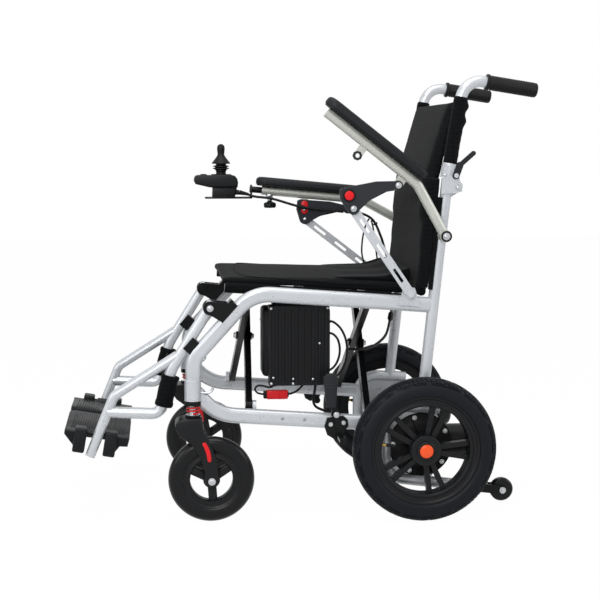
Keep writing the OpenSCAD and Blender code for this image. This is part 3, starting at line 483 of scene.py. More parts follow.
# Glass-filled nylon: black, half matt, with a faint flow pattern.
black_nylon = finish("glass_filled_black_nylon", "#0e0f11", 0.38, gloss=0.2, grain_mm=1.1, bump_mm=0.02)
orange_abs = finish("moulded_orange_abs", "#dc4c1c", 0.32, gloss=0.3, grain_mm=1.4, bump_mm=0.01)
brass = finish("turned_brass", "#b08d4a", 0.28, metallic=1.0, gloss=0.5, grain_mm=0.5, bump_mm=0.004)
dress(black_nylon, "rear_rim_left", "rear_rim_right")
for side, s in SIDES:
    axle = mm(s * 262, 0, 158)
    out = Vector((s, 0, 0))
    half = ((119.3, 0), (119.3, 24.6), (121.5, 26.6), (126, 27.8), (131, 27.9), (137, 27.2), (142.5, 25.7),
            (145, 24.6), (145.6, 23.4), (148.4, 22), (151.6, 19), (154, 14.4), (155.4, 8.6), (155.9, 2.9))
    bm = turned([(r, -w) for r, w in half] + [(r, w) for r, w in reversed(half)], axle, out, 96)
    blocks = []
    for face in bm.faces:
        spot = face.calc_center_median() - axle
        reach = math.hypot(spot.y, spot.z) * 1000
        turn = math.atan2(spot.z, spot.y) / math.tau * 96
        band = int(abs(spot.x) * 1000 // 5)
        if reach > 146.2 and (int(turn + 96.5) + band) % 4 != 3:
            blocks.append(face)
    bmesh.ops.inset_individual(bm, faces=blocks, thickness=0.0008, depth=0.0021)
    tyre = settle("tread_tyre_" + side, bm, tyre_rubber, "rear_wheel_" + side, 32)
    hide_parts("rear_tyre_" + side)
    cap = settle("hub_cap_" + side, turned(((0, 30.2), (6, 30), (11.5, 29), (14.6, 27.6), (15.4, 26.4),
                                            (15.4, 24),
                                            (0, 24)), axle, out), orange_abs, "rear_wheel_" + side)
    rim = settle("hub_ring_" + side, turned(((15.5, 27.2), (16.2, 28.4), (18.6, 28.4), (20.2, 27),
                                             (20.6, 23),
                                             (29, 22.9), (30.5, 23.6), (32, 23.6), (33.2, 22.6),
                                             (33.2, 18), (15.5, 18),
                                             (15.5, 27.2)), axle, out), black_nylon, "rear_wheel_" + side)
    lip = settle("rim_lip_" + side, turned(((97, 14), (97, 19.4), (98.4, 20.8), (103, 21), (105, 19.6),
                                            (112, 19.6),
                                            (114.5, 22.4), (118.6, 22.9), (119.2, 21.6), (119.2, 14),
                                            (97, 14)),
                                           axle, out, 96), black_nylon, "rear_wheel_" + side)
    way = Vector((0, math.cos(math.radians(172)), math.sin(math.radians(172))))
    stem = settle("tyre_valve_" + side, turned(((0, 99), (4.4, 99), (4.4, 96), (3.2, 95), (2.9, 86),
                                                (0, 86)),
                                               axle + out * 0.008, way * 1.0, 20), brass,
                  "rear_wheel_" + side)
    top = settle("valve_cap_" + side, turned(((0, 87), (3.7, 87), (3.9, 84), (3.9, 72), (3.1, 66),
                                              (0, 64.5)),
                                             axle + out * 0.008, way, 16), black_abs, "rear_wheel_" + side)

# Front casters: a sprung stem in the head tube, a moulded fork with a red inlay on each leg, and a
# solid polyurethane tyre on a three-spoke wheel with a steel axle bolt.
dress(zinc_steel, "caster_stem_left", "caster_stem_right")
spring_enamel = finish("red_enamelled_spring_steel", "#c0151c", 0.3, gloss=0.3, grain_mm=1.5, bump_mm=0.01)
for side, s in SIDES:
    seat_ring = turned(((16.2, 231.2), (17, 231.2), (17.4, 231.8), (17.4, 236), (17, 236.8),
                        (16.2, 236.8), (16.2, 231.2)),
                       mm(s * 222, -501, 0), (0, 0, 1), 36)
    settle("spring_seat_" + side, seat_ring, black_nylon, "caster_stem_" + side)
    coil = [mm(s * (222 + 12.4 * math.cos(math.tau * k / 20)), -501 + 12.4 * math.sin(math.tau * k / 20),
               239.2 + 15.6 * k / 48) for k in range(49)]
    spring = tube("coil_spring_" + side, coil, 0.0018, spring_enamel, side + "_frame")
    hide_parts("caster_spring_" + side)
    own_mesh(spring)
cast_urethane = finish("cast_polyurethane_tyre", "#0b0c0e", 0.28, gloss=0.2, grain_mm=2.2, bump_mm=0.02,
                       tint=0.1)
FORK_LEG = ((-58, 137), (-70, 134), (-76.5, 127), (-77.5, 119), (-74.5, 109), (-68, 99.5), (-58, 92),
            (-46, 83),
            (-34, 69), (-24, 51), (-17, 30), (-15, 6), (-13, -7.5), (-7.5, -13), (0, -15), (7.5, -13),
            (13, -7.5),
            (15, 3), (13.8, 27), (10, 48), (3, 69), (-5, 89), (-15, 108), (-20.5, 124), (-22, 137))
FORK_CROWN = ((-58, 137), (-70, 134), (-76.5, 127), (-77.5, 119), (-74.5, 109), (-70, 102.8), (-17, 102.8),
              (-20.5, 124), (-22, 137))


def plate(outline, x0, x1, origin, round_mm, segments=3):
    bm = bmesh.new()
    face = bm.faces.new([bm.verts.new(origin + Vector((x0 / 1000, y / 1000, z / 1000))) for y,
                         z in outline])
    pulled = bmesh.ops.extrude_face_region(bm, geom=[face])
    bmesh.ops.translate(bm, vec=((x1 - x0) / 1000, 0, 0), verts=[v for v in pulled["geom"]
                                                                 if isinstance(v, bmesh.types.BMVert)])
    bmesh.ops.recalc_face_normals(bm, faces=bm.faces)
    rims = [e for e in bm.edges if abs(e.verts[0].co.x - e.verts[1].co.x) < 1e-6]
    bmesh.ops.bevel(bm, geom=rims, offset=round_mm / 1000, affect="EDGES", segments=segments, profile=0.5,
                    material=-1)
    return bm


for side, s in SIDES:
    axle = mm(s * 222, -462, 94)
    out = Vector((s, 0, 0))
    bm = plate(FORK_LEG, 19.6, 29.4, axle, 3.2)
    add_in(bm, plate(FORK_LEG, -29.4, -19.6, axle, 3.2))
    add_in(bm, plate(FORK_CROWN, -29.2, 29.2, axle, 9, 5))
    add_in(bm, turned(((9.6, 100), (20, 100), (24, 112), (21.6, 126), (20.6, 132), (20.6, 136),
                       (19.8, 136.8),
                       (9.6, 136.8), (9.6, 100)), axle + Vector((0, -0.039, 0)), (0, 0, 1), 48))
    fork = settle("moulded_fork_" + side, bm, black_nylon, "caster_fork_" + side, 50)
    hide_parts("caster_fork_" + side)
    inlay = ((-20, 85), (-13.5, 86.5), (-8, 78), (-3.4, 66), (-1, 52), (-1.6, 44), (-6.5, 43), (-9, 46),
             (-11.4, 60), (-16, 74),
             (-20, 82))
    bm = plate(inlay, 28.8, 30.2, axle, 0.5, 2)
    add_in(bm, plate(inlay, -30.2, -28.8, axle, 0.5, 2))
    strip = settle("fork_inlay_" + side, bm, red_abs, "caster_fork_" + side, 40)
    bm = turned(((0, 33.4), (4, 33.4), (5, 32.6), (5, 31.6), (8, 31.4), (8, 29), (0, 29)), axle, out, 24)
    add_in(bm, turned(((0, 33.4), (4, 33.4), (5, 32.6), (5, 31.6), (8, 31.4), (8, 29), (0, 29)), axle,
                      -out, 24))
    settle("caster_axle_bolt_" + side, bm, zinc_steel, "caster_fork_" + side)
    half = ((63.2, 0), (63.2, 15.4), (64.6, 16.6), (72, 16.9), (79, 17), (84.4, 15.6), (89.4, 11.8),
            (92.6, 6.4), (93.8, 1.6))
    tyre = settle("caster_tyre_" + side, turned([(r, -w) for r, w in half] + [(r, w) for r,
            w in reversed(half)], axle,
                                                out, 72), cast_urethane, "caster_wheel_" + side, 40)
    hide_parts("caster_wheel_" + side)
    bm = turned(((46.5, -12), (46.5, 12), (48, 14), (52, 14.4), (55, 12.6), (60, 12.6), (63, 14.6),
                 (63, -14.6), (60, -12.6),
                 (55, -12.6), (52, -14.4), (48, -14), (46.5, -12)), axle, out, 72)
    add_in(bm, turned(((6.1, -19), (6.1, 19), (14, 19), (17, 17), (18.5, 12), (18.5, -12), (17, -17),
                       (14, -19), (6.1, -19)),
                      axle, out, 36))
    for k in range(3):
        spoke = block((19, 40, 19), Vector((0, 0.033, 0)), 4)
        bmesh.ops.transform(spoke, matrix=Matrix.Translation(axle)
                            @ Matrix.Rotation(math.radians(34 + 120 * k), 4, "X"), verts=spoke.verts)
        add_in(bm, spoke)
    hub = settle("caster_spokes_" + side, bm, black_nylon, "caster_wheel_" + side, 40)

# Anti-tip wheels: small solid rubber rollers on the rear loop of the frame, between black enamelled
# cheeks.
dress(cast_urethane, "antitip_wheel_left", "antitip_wheel_right")
cheek = [(184 + 9.8 * math.cos(math.radians(a)),
          52.5 + 9.8 * math.sin(math.radians(a))) for a in range(-97, 84, 15)]
cheek += [(134 + 9.8 * math.cos(math.radians(a)),
           58.8 + 9.8 * math.sin(math.radians(a))) for a in range(83, 264, 15)]
for side, s in SIDES:
    bm = plate(cheek, s * 221.5, s * 225.6, mm(0, 0, 0), 0.9, 2)
    add_in(bm, plate(cheek, s * 198.4, s * 202.5, mm(0, 0, 0), 0.9, 2))
    settle("antitip_cheeks_" + side, bm, black_enamel, side + "_frame", 40)

# Brakes: flat steel levers with a ribbed plastic grip pressed over the end, and a steel pad that meets
# the tyre.
grip_abs = finish("moulded_dark_grey_abs", "#1d1f22", 0.46, grain_mm=1.0, bump_mm=0.03)
dress(black_enamel, "brake_lever_left", "brake_lever_right")
for side, s in SIDES:
    edge = ((-211.6, 246.4), (-190.5, 246.4), (-186.3, 313.6), (-194.4, 322.6), (-209.6, 322.6),
            (-218.7, 314.8),
            (-214.6, 277))
    bm = plate(edge, s * 223.7, s * 237.2, mm(0, 0, 0), 3.4, 4)
    for z in (292, 298, 304, 310):
        add_in(bm, block((14.6, 27, 2.4), mm(s * 230.4, -201.4, z), 1, 2))
    settle("brake_grip_" + side, bm, grip_abs, "brake_" + side, 40)

# Armrests: bent round tube in champagne powder coat. Each pad is moulded skin foam on a black tray,
# screwed on from below.
champagne_coat = finish("satin_champagne_powder_coat", "#adafa8", 0.32, metallic=0.35, gloss=0.5,
                        grain_mm=2.4, bump_mm=0.004,
                        tint=0.02, edge_mm=0.2)
# Integral-skin foam: a dull black skin with a fine leather grain.
skin_foam = finish("integral_skin_foam", "#15171a", 0.5, grain_mm=2.4, bump_mm=0.06)
dress(champagne_coat, "arm_tube_left", "arm_tube_right")


def lofted(rows):
    bm = bmesh.new()
    rings = [[bm.verts.new(p) for p in row] for row in rows]
    for ring in rings:
        for one, two in zip(ring, ring[1:] + ring[:1]):
            bm.edges.new((one, two))
    for low, high in zip(rings, rings[1:]):
        bmesh.ops.bridge_loops(bm, edges=[bm.edges.get(pair) for ring in (low, high)
                                          for pair in zip(ring, ring[1:] + ring[:1])])
    for ring in (rings[0], rings[-1]):
        bm.faces.new(ring)
    bmesh.ops.recalc_face_normals(bm, faces=bm.faces)
    return bm


def pad_ring(frame_at, inset, z):
    half, reach = 24.5 - inset, 111.0
    ring = []
    for end in (1, -1):
        for k in range(17):
            a = math.pi * k / 16 + (0 if end > 0 else math.pi)
            ring.append(frame_at @ Vector((half * math.cos(a) / 1000,
                                           (end * reach + half * math.sin(a)) / 1000,
                                           z / 1000)))
    return ring


ARM = {"left": Matrix.Translation(mm(0, 44.8, 620.3)) @ Matrix.Rotation(math.radians(-32.6), 4, "X"),
       "right": Matrix.Translation(mm(0, 44.8, 620.3))}
for side, s in SIDES:
    pad_at = (ARM[side] @ Matrix.Translation((s * 0.24, -0.24095, 0.07296))
              @ Matrix.Rotation(math.radians(-5.3), 4, "X") @ Matrix.Translation((0, 0, 0.0111)))
    pad = settle("arm_pad_foam_" + side, lofted([pad_ring(pad_at, inset, z) for inset, z in (
        (4, 3.2), (1.2, 3.6), (0.3, 5), (0, 7), (0, 13), (0.5, 15.6), (1.8, 18), (4, 20), (7.4, 21.4),
                (12, 22),
        (18, 22.2))]), skin_foam, "armrest_" + side, 50)
    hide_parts("arm_pad_" + side)
    tray = settle("arm_pad_tray_" + side, lofted([pad_ring(pad_at, inset, z) for inset, z in (
        (8, 0), (3.4, 0.2), (2.4, 1), (2.2, 3.4), (2.6, 4.4), (6, 4.6))]), black_abs, "armrest_" + side, 40)

# Armrest latches: a two-cheek channel of dark grey nylon that turns on the arm tube, a red release
# button
# in a black collar, and a slotted steel stay from the seat rail. Zinc bolts hold the joints.
grey_nylon = finish("glass_filled_grey_nylon", "#24262a", 0.45, grain_mm=1.1, bump_mm=0.03)
dress(grey_nylon, "latch_arm_left", "latch_arm_right")
dress(red_abs, "latch_button_left", "latch_button_right")
dress(silver_coat, "arm_link_left", "arm_link_right")
for side, s in SIDES:
    out = Vector((s, 0, 0))
    latch_at = (ARM[side] @ Matrix.Translation((0, -0.147, 0.036))
                @ Matrix.Rotation(math.radians(59.643 if s > 0 else 12.243), 4, "X"))
    spots = [(latch_at @ Vector((s * 0.252, y / 1000, 0)), out, 4.6, 3.4) for y in (0, -108.5)]
    bolts("latch_bolts_" + side, spots, "latch_arm_" + side, zinc_steel)
    collar = turned(((10.4, 248.6), (13.4, 248.6), (13.6, 250.4), (12.8, 252), (11, 252.4), (10.4, 251.6),
                     (10.4, 248.6)), latch_at @ Vector((0, -0.104, 0.029)), out, 32)
    settle("button_collar_" + side, collar, black_abs, "latch_arm_" + side)
    keeper = turned(((5, -3.2), (9.8, -3.2), (10.6, -2.4), (10.6, 2.4), (9.8, 3.2), (5, 3.2), (5, -3.2)),
                    ARM[side] @ Vector((s * 0.24, -0.2548, 0.0424)), out, 8)
    settle("latch_keeper_" + side, keeper, grey_nylon, "armrest_" + side, 30)
    inner = latch_at @ Vector((s * 0.231, -0.104, 0.029))
    edge = [(8.4 * math.cos(math.tau * k / 24), 8.4 * math.sin(math.tau * k / 24) + (8 if k < 12 else -8))
            for k in range(24)]
    tab = settle("latch_tab_" + side, plate(edge, 0, -s * 1.8, inner, 0.6, 2), red_abs,
                 "latch_arm_" + side, 40)
    spots = [(inner - out * 0.0018 - Vector((0, 0, 0.006)), -out, 4.4, 2.2)]
    spots += [(latch_at @ Vector((s * 0.231, y / 1000, 0)), -out, 5, 2.4) for y in (0, -108.5)]
    rivets("latch_rivets_" + side, spots, "latch_arm_" + side, zinc_steel)

# Back tubes: silver push tubes that fold on a cast hinge on each post, with ribbed rubber grips and
# flat
# release levers.
grip_rubber = finish("moulded_grip_rubber", "#0d0d0f", 0.5, grain_mm=1.3, bump_mm=0.05)
dress(silver_coat, "back_tube_left", "back_tube_right")
dress(grip_abs, "back_lever_left", "back_lever_right")
for side, s in SIDES:
    out = Vector((s, 0, 0))
    way = Vector((0, 0.988, -0.155))
    ribs = []
    for k in range(18):
        ribs += [(15.1, 10 + k * 5.4), (16.1, 11.2 + k * 5.4), (16.1, 13.6 + k * 5.4),
                 (15.1, 14.8 + k * 5.4)]
    profile = [(0, 111), (12.7, 111), (12.7, 0), (17.2, 0), (18, 1), (18, 5.4), (17, 7), (15.1, 8.2)] + ribs
    profile += [(15.8, 108.4), (15.2, 111.6), (12.6, 113.8), (6, 114.4), (0, 114.5)]
    grip = settle("ribbed_grip_" + side, turned(profile, mm(s * 212, 249, 932.8) - way * 0.114, way, 40),
                  grip_rubber,
                  "upper_back_" + side, 50)
    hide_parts("hand_grip_" + side)
    heads = bolts("hinge_bolt_" + side, [(mm(s * 227.6, 76, 724), out, 4.4, 3)], "upper_back_" + side,
                  zinc_steel)
    stud = rivets("hinge_rivet_" + side, [(mm(s * 227.6, 46.5, 751), out, 3.4, 1.6)],
                  "upper_back_" + side, zinc_steel)

# Leg rests: silver hangers of bent round tube, with the foot tube welded across the front of each.
dress(silver_coat, "legrest_left", "legrest_right")

# Footplates: moulded dark grey ABS with fine cross ribs in two fields, a deep outer edge with cut
# corners, and two blocks that clamp the plate to the foot tube so that it can flip up.
plate_abs = finish("ribbed_grey_abs", "#0e1013", 0.45, gloss=0.16, grain_mm=1.0, bump_mm=0.04)
for side, s in SIDES:
    foot = Matrix.Translation(mm(s * 190, -708, 191.3)) @ Matrix.Rotation(math.radians(-9.8), 4, "X")
    bm = bmesh.new()
    bmesh.ops.create_cube(bm, size=1, matrix=Matrix.Translation((s * -0.0915, 0, -0.0065))
                          @ Matrix.Diagonal((0.161, 0.141, 0.015, 1)))
    uprights = [e for e in bm.edges if abs(e.verts[0].co.z - e.verts[1].co.z) > 0.01
                and s * e.verts[0].co.x < -0.1]
    bmesh.ops.bevel(bm, geom=uprights, offset=0.018, affect="EDGES", segments=6, profile=0.5, material=-1)
    rims = [e for e in bm.edges if abs(e.verts[0].co.z - e.verts[1].co.z) < 1e-5]
    bmesh.ops.bevel(bm, geom=rims, offset=0.0024, affect="EDGES", segments=3, profile=0.5, material=-1)
    for edge in (((-70.5, 1.4), (-22.5, 1.4), (-22.5, -33), (-46, -33), (-70.5, -8)),
                 ((18.5, 1.4), (70.5, 1.4), (69, -17), (52, -19), (44, -33), (18.5, -33))):
        add_in(bm, plate(edge, s * -24, s * 8, Vector((0, 0, 0)), 2.2, 3))
    for k in range(10):
        for y in (-57 + 5.4 * k, 9 + 5.4 * k):
            add_in(bm, block((142, 2.4, 2.6), Vector((s * -0.095, y / 1000, 0.0016)), 0.8, 1))
    bmesh.ops.transform(bm, matrix=Matrix.Rotation(math.radians(s * 3.5), 4, "Y"), verts=bm.verts)
    for y in (-35, 31):
        add_in(bm, block((36, 26, 54), Vector((s * 0.009, y / 1000, -0.0145)), 4, 4))
    bmesh.ops.transform(bm, matrix=foot, verts=bm.verts)
    bmesh.ops.recalc_face_normals(bm, faces=bm.faces)
    bush = turned(((4.1, -22), (6, -22), (6, -14.6), (9, -14.4), (9, 10.4), (6, 10.6), (6, 18), (4.1, 18),
                   (4.1, -22)),
                  foot @ Vector((0, 0, 0)), foot.to_3x3() @ Vector((0, 1, 0)), 28)
    settle("foot_pin_bush_" + side, bush, black_nylon, "legrest_" + side, 40)
    step = settle("ribbed_footplate_" + side, bm, plate_abs, "footplate_" + side, 40)
    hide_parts("footplate_" + side)

# Battery and controller: a moulded battery case with a lid seam and a carrying handle, and a cast
# controller box with cooling ribs and small plated screws.
dress(black_abs, "controller_box")
bm = block((72, 152, 154), mm(110, -268, 380), 9, 4)
add_in(bm, block((73.4, 153.4, 3), mm(110, -268, 424), 1, 2))
add_in(bm, block((24, 104, 9), mm(108, -268, 462), 4, 4))
for y in (-316, -220):
    add_in(bm, block((24, 9, 14), mm(108, y, 459), 3, 3))
for z in (330, 420):
    add_in(bm, block((8, 60, 20), mm(146.4, -270, z), 1.5, 2))
battery = settle("battery_case", bm, black_abs, "left_frame", 40)
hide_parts("battery_pack")
spots = [(mm(190, y, z), (1, 0, 0), 3.2, 1.8) for y, z in ((-328, 295), (-280, 294.6), (-204, 295),
                                                           (-328, 461),
                                                         (-204, 461))]
spots += [(mm(196, y, z), (1, 0, 0), 2.6, 1.6) for y, z in ((-324, 309), (-280.5, 306), (-237, 305),
                                                            (-222.5, 384))]
rivets("controller_screws", spots, "left_frame", zinc_steel)

# Joystick: a moulded pod on a bent steel bracket, with a rubber bellows at the foot of the stick, two
# push buttons, and a lobed clamp knob under a plated boss on the arm tube.


def baked(piece):
    bpy.context.view_layer.update()
    return bpy.data.meshes.new_from_object(piece.evaluated_get(bpy.context.evaluated_depsgraph_get()))


dress(black_abs, "joystick_gimbal", "power_button", "horn_button")
pod = settle("joystick_pod", plate(((-481.5, 728), (-480.5, 736), (-477, 740.6), (-471, 742), (-430, 742),
                                    (-426, 743.8),
                                    (-392, 743.4), (-382, 740.2), (-376.5, 733.5), (-374.5, 724),
                                    (-376, 712), (-434, 711.5),
                                    (-447, 713), (-467, 717.8), (-478, 720.4)), -271, -209, mm(0, 0, 0),
                                   5, 4),
             black_abs, None, 50)
well = settle("stick_well", turned(((0, 716), (22, 716), (22, 760), (0, 760)), mm(-240, -415, 0),
                                   (0, 0, 1)), black_abs, None)
carve = pod.modifiers.new("well", "BOOLEAN")
carve.object = well
carve.operation = "DIFFERENCE"
bm = bmesh.new()
bm.from_mesh(baked(pod))
bpy.data.objects.remove(well)
bpy.data.objects.remove(pod)
add_in(bm, plate(((-437, 689.2), (-436, 714), (-378, 714), (-377.4, 706), (-380.6, 696), (-381.6, 689.2)),
                 -264, -216,
                 mm(0, 0, 0), 4, 3))
add_in(bm, turned(((0, -14), (6, -14), (6, 0), (3.4, 0), (3.4, -1), (0, -1)), mm(-224, -371, 700),
                  (0, 1, 0), 24))
pod = settle("joystick_pod", bm, black_abs, "joystick", 50)
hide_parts("joystick_housing")
boot = turned(((21.8, 740), (22.6, 743.6), (23.6, 744.2), (24.6, 743.8), (24.9, 741.6), (27, 741.4),
               (27, 740), (21.8, 740)),
              mm(-240, -415, 0), (0, 0, 1), 48)
for x in (-227, -253):
    add_in(boot, turned(((6.5, 741.6), (6.5, 742.9), (7.2, 743.3), (8.6, 743), (9.2, 741.6), (6.5, 741.6)),
                        mm(x, -458, 0), (0, 0, 1), 24))
settle("joystick_boot", boot, grip_rubber, "joystick", 40)
stick = turned(((0, 818), (4, 817), (7.6, 814.4), (9.3, 810), (9.5, 804), (8.6, 797), (8.2, 792),
                (9.5, 789), (13, 784),
                (17.5, 778), (21.5, 773), (22.8, 770.8), (22, 769.6), (14, 769.4), (12.2, 768),
                (12.2, 766.5), (15, 765.6),
                (19.5, 764), (20, 762.6), (15, 761.4), (14.5, 760.4), (20, 758.8), (20.4, 757.4),
                (15.5, 756), (14.6, 755),
                (13.4, 753.8), (13.6, 752.6), (12.4, 751.6), (12, 748), (12.6, 743), (3.4, 742.6),
                (3.4, 728), (0, 728)), mm(-240, -415, 0),
               (0, 0, 1), 40)
stick = settle("joystick_lever", stick, grip_rubber, "joystick_stick", 50)
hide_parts("joystick_stick")
bm = block((32, 116, 4.4), mm(-240, -397, 686.6), 1.6, 2)
add_in(bm, block((26, 4.4, 34), mm(-240, -341.4, 701.4), 1.6, 2))
add_in(bm, turned(((0, -74), (7.8, -74), (7.8, 30), (0, 30)), mm(-240, -315.2, 704.3),
                  (0, -0.99574, 0.09235), 32))
bracket = settle("joystick_bracket", bm, black_enamel, "joystick", 40)
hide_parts("joystick_mount")
boss = turned(((8.6, 0), (9.6, -3), (7, -9), (5.6, -13), (5.6, -15), (2, -15), (2, 0), (8.6, 0)),
              mm(-240, -296, 694.4),
              (0, 0, 1), 32)
settle("clamp_boss", boss, zinc_steel, "armrest_right", 50)
knob = turned(((0, 0.6), (5, 0.6), (5.4, -6), (9, -8.4), (12.4, -9.4), (14, -12), (14, -19), (11.6, -22),
               (0, -22.6)),
              Vector((0, 0, 0)), (0, 0, 1), 48)
for v in knob.verts:
    if v.co.z < -0.007:
        lobe = 1 + 0.12 * math.cos(5 * math.atan2(v.co.y, v.co.x))
        v.co.x *= lobe
        v.co.y *= lobe
bmesh.ops.translate(knob, vec=mm(-240, 44.8 - 340, 620.3 + 63), verts=knob.verts)
knob = settle("lobed_clamp_knob", knob, black_abs, "clamp_knob", 40)
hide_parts("clamp_knob")

# Seat cushion: a thin foam slab in a sewn cover of black woven polyester, laid on the two seat rails. A
# piped seam runs round the upper edge, and the hems of the sling below wrap the rails.


def cloth_finish(name, base, thread_mm, puff_mm):
    made = bpy.data.materials.new(name)
    made.use_nodes = True
    tree = made.node_tree
    tree.nodes.clear()
    spot = add(tree, "ShaderNodeTexCoord")
    warp = [add(tree, "ShaderNodeTexWave", {"Vector": spot.outputs["Object"],
                                            "Scale": 314 / thread_mm / 20 * 3.2,
                                            "Distortion": 0.6, "Detail": 1.0},
                bands_direction=d) for d in "XYZ"]
    first = add(tree, "ShaderNodeMath", {0: warp[0].outputs["Fac"], 1: warp[1].outputs["Fac"]},
                operation="MULTIPLY")
    both = add(tree, "ShaderNodeMath", {0: first.outputs[0], 1: warp[2].outputs["Fac"]}, operation="ADD")
    creases = add(tree, "ShaderNodeTexNoise", {"Vector": spot.outputs["Object"], "Scale": 14.0,
                                               "Detail": 4.0,
                                               "Distortion": 0.6})
    fold = add(tree, "ShaderNodeBump", {"Strength": 0.7, "Distance": puff_mm / 1000,
                                        "Height": creases.outputs["Fac"]})
    weave = add(tree, "ShaderNodeBump", {"Strength": 0.8, "Distance": 0.0002, "Height": both.outputs[0],
                                         "Normal": fold.outputs["Normal"]})
    r, g, b, _ = linear(base)
    colour = add(tree, "ShaderNodeMix", {"Factor": both.outputs[0], 6: (r * 0.7, g * 0.7, b * 0.7, 1),
                                         7: (r * 1.3, g * 1.3, b * 1.3, 1)}, data_type="RGBA")
    shader = add(tree, "ShaderNodeBsdfPrincipled", {"Base Color": colour.outputs[2], "Roughness": 0.85,
                                                    "Specular IOR Level": 0.06, "Sheen Weight": 0.03,
                                                    "Sheen Roughness": 0.5,
                                                    "Normal": weave.outputs["Normal"]})
    add(tree, "ShaderNodeOutputMaterial", {"Surface": shader.outputs[0]})
    return made


# Woven polyester: a plain weave with threads drawn 1.6 mm wide, coarser than real so that it shows.
woven = cloth_finish("woven_black_polyester", "#08090b", 1.6, 1.0)


def stuffed(name, bm, voxel_mm, cap_mm, pressure=4.0):
    piece = settle(name, bm, woven, None, 180)
    remesh = piece.modifiers.new("remesh", "REMESH")
    remesh.mode = "VOXEL"
    remesh.voxel_size = voxel_mm / 1000
    mesh = baked(piece)
    piece.modifiers.clear()
    piece.data = mesh
    rest = [v.co.copy() for v in mesh.vertices]
    cloth = piece.modifiers.new("cloth", "CLOTH")
    cloth.settings.quality = 5
    cloth.settings.mass = 0.3
    cloth.settings.tension_stiffness = 12
    cloth.settings.compression_stiffness = 12
    cloth.settings.bending_stiffness = 0.4
    cloth.settings.use_pressure = True
    cloth.settings.uniform_pressure_force = pressure
    cloth.settings.effector_weights.gravity = 0
    for frame_no in range(1, 21):
        scene.frame_set(frame_no)
    mesh = baked(piece)
    piece.modifiers.clear()
    scene.frame_set(1)
    for v, at in zip(mesh.vertices, rest):
        step = v.co - at
        if step.length > cap_mm / 1000:
            v.co = at + step * (cap_mm / 1000 / step.length)
    piece.data = mesh
    return piece


def refined(piece, material):
    split = piece.modifiers.new("subdivision", "SUBSURF")
    split.levels = split.render_levels = 1
    mesh = baked(piece)
    piece.modifiers.clear()
    mesh.materials.clear()
    mesh.materials.append(material)
    mesh.shade_smooth()
    piece.data = mesh
    return piece


SEAT = BRACES


bm = block((396, 420, 15), Vector((0, 0.006, 0.2772)), 6, 4)
for v in bm.verts:
    if v.co.y < -0.19 and v.co.z < 0.276:
        v.co.z -= 0.009
bmesh.ops.transform(bm, matrix=SEAT, verts=bm.verts)
cushion = stuffed("seat_cushion_cover", bm, 5, 5)
inside = SEAT.inverted()
for v in cushion.data.vertices:
    at = inside @ v.co
    crown = max(0.0, 1 - (at.x / 0.203) ** 2) * max(0.0, 1 - ((at.y - 0.006) / 0.215) ** 4)
    if at.z > 0.278:
        at.z += 0.005 * crown
    if at.z > 0.2683:
        at.z -= 0.5 * (at.z - 0.2683) * min(1.0, max(0.0, (0.06 - at.y) / 0.24))
    at.z = max(at.z, (0.2683 if at.y > -0.1965 else 0.258)
               + 0.0008 * math.sin(at.x * 60) * math.sin(at.y * 50))
    v.co = SEAT @ at
refined(cushion, woven)
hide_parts("seat_cushion")
tree_of = BVHTree.FromObject(cushion, bpy.context.evaluated_depsgraph_get())
seam = []
for k in range(96):
    a = math.tau * k / 96
    way = Vector((math.copysign(abs(math.cos(a)) ** 0.35, math.cos(a)) * 0.3,
                  math.copysign(abs(math.sin(a)) ** 0.35, math.sin(a)) * 0.3, 0))
    start = SEAT @ (Vector((0, 0.006, 0.281)) + way)
    hit = tree_of.ray_cast(start, SEAT.to_3x3() @ -way)[0]
    seam.append(hit)
seam = smooth_path(seam + seam[:1], 2)
piping = tube("seat_seam_piping", seam, 0.0017, woven)
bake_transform(cushion)
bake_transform(piping)
for side, s, rail in (("left", 1, "cross_brace_b"), ("right", -1, "cross_brace_a")):
    bm = bmesh.new()
    for near, far in ((-194, -75), (-45, 170), (200, 221)):
        add_in(bm, turned(((11.2, near), (12, near), (12.3, near + 1.5), (12.1, (near + far) / 2),
                           (12.3, far - 1.5),
                           (12, far), (11.2, far), (11.2, near)), BRACES @ Vector((s * 0.188, 0, 0.2565)),
                          BRACES.to_3x3() @ Vector((0, 1, 0)), 28))
    settle("seat_rail_hem_" + side, bm, woven, rail, 60)

# Lower back: a padded panel between the fixed posts, with side wings that wrap round to them,
# and a soft flap at its foot that lies on the rear of the cushion.
BACK = Matrix.Translation(mm(0, 9.1 + (640 - 306) * math.tan(math.radians(5.9)), 640)) @ Matrix.Rotation(
    math.radians(-5.9), 4, "X")
half = ((0, -49), (70, -48), (120, -46), (172, -42), (188, -38), (200, -32), (210, -26), (219, -21),
        (224, -16),
        (216, -14), (203, -14), (190, -16), (176, -18), (90, -20), (0, -21))
ring = list(half) + [(-x, y) for x, y in reversed(half[1:-1])]
rows = []
for z in (-162, -150, -141, -139, -118, -104, -92, -80, -60, -40, -20, 0, 20, 40, 60, 80, 106):
    limit = -34 if z < -50 else -36 if z < 10 else -42 if z < 50 else -49
    reach = 197 if z < -140 else 230
    rows.append([BACK @ Vector((max(-reach, min(reach, x)) / 1000, max(y, limit) / 1000, z / 1000)) for x,
                 y in ring])
bm = lofted(rows)
lower_back = stuffed("lower_back_panel", bm, 5, 4)


# Share of a panel's width that is left when the sides are folded together.
FOLD_KEEP = 0.63


def clear_posts(piece, frame_at, reach_mm):
    back = frame_at.inverted()
    for v in piece.data.vertices:
        at = back @ v.co
        for x in (-0.212, 0.212):
            room = (reach_mm / 1000) ** 2 - (FOLD_KEEP * (at.x - x)) ** 2
            if room > 0:
                at.y = min(at.y, -math.sqrt(room))
        v.co = frame_at @ at


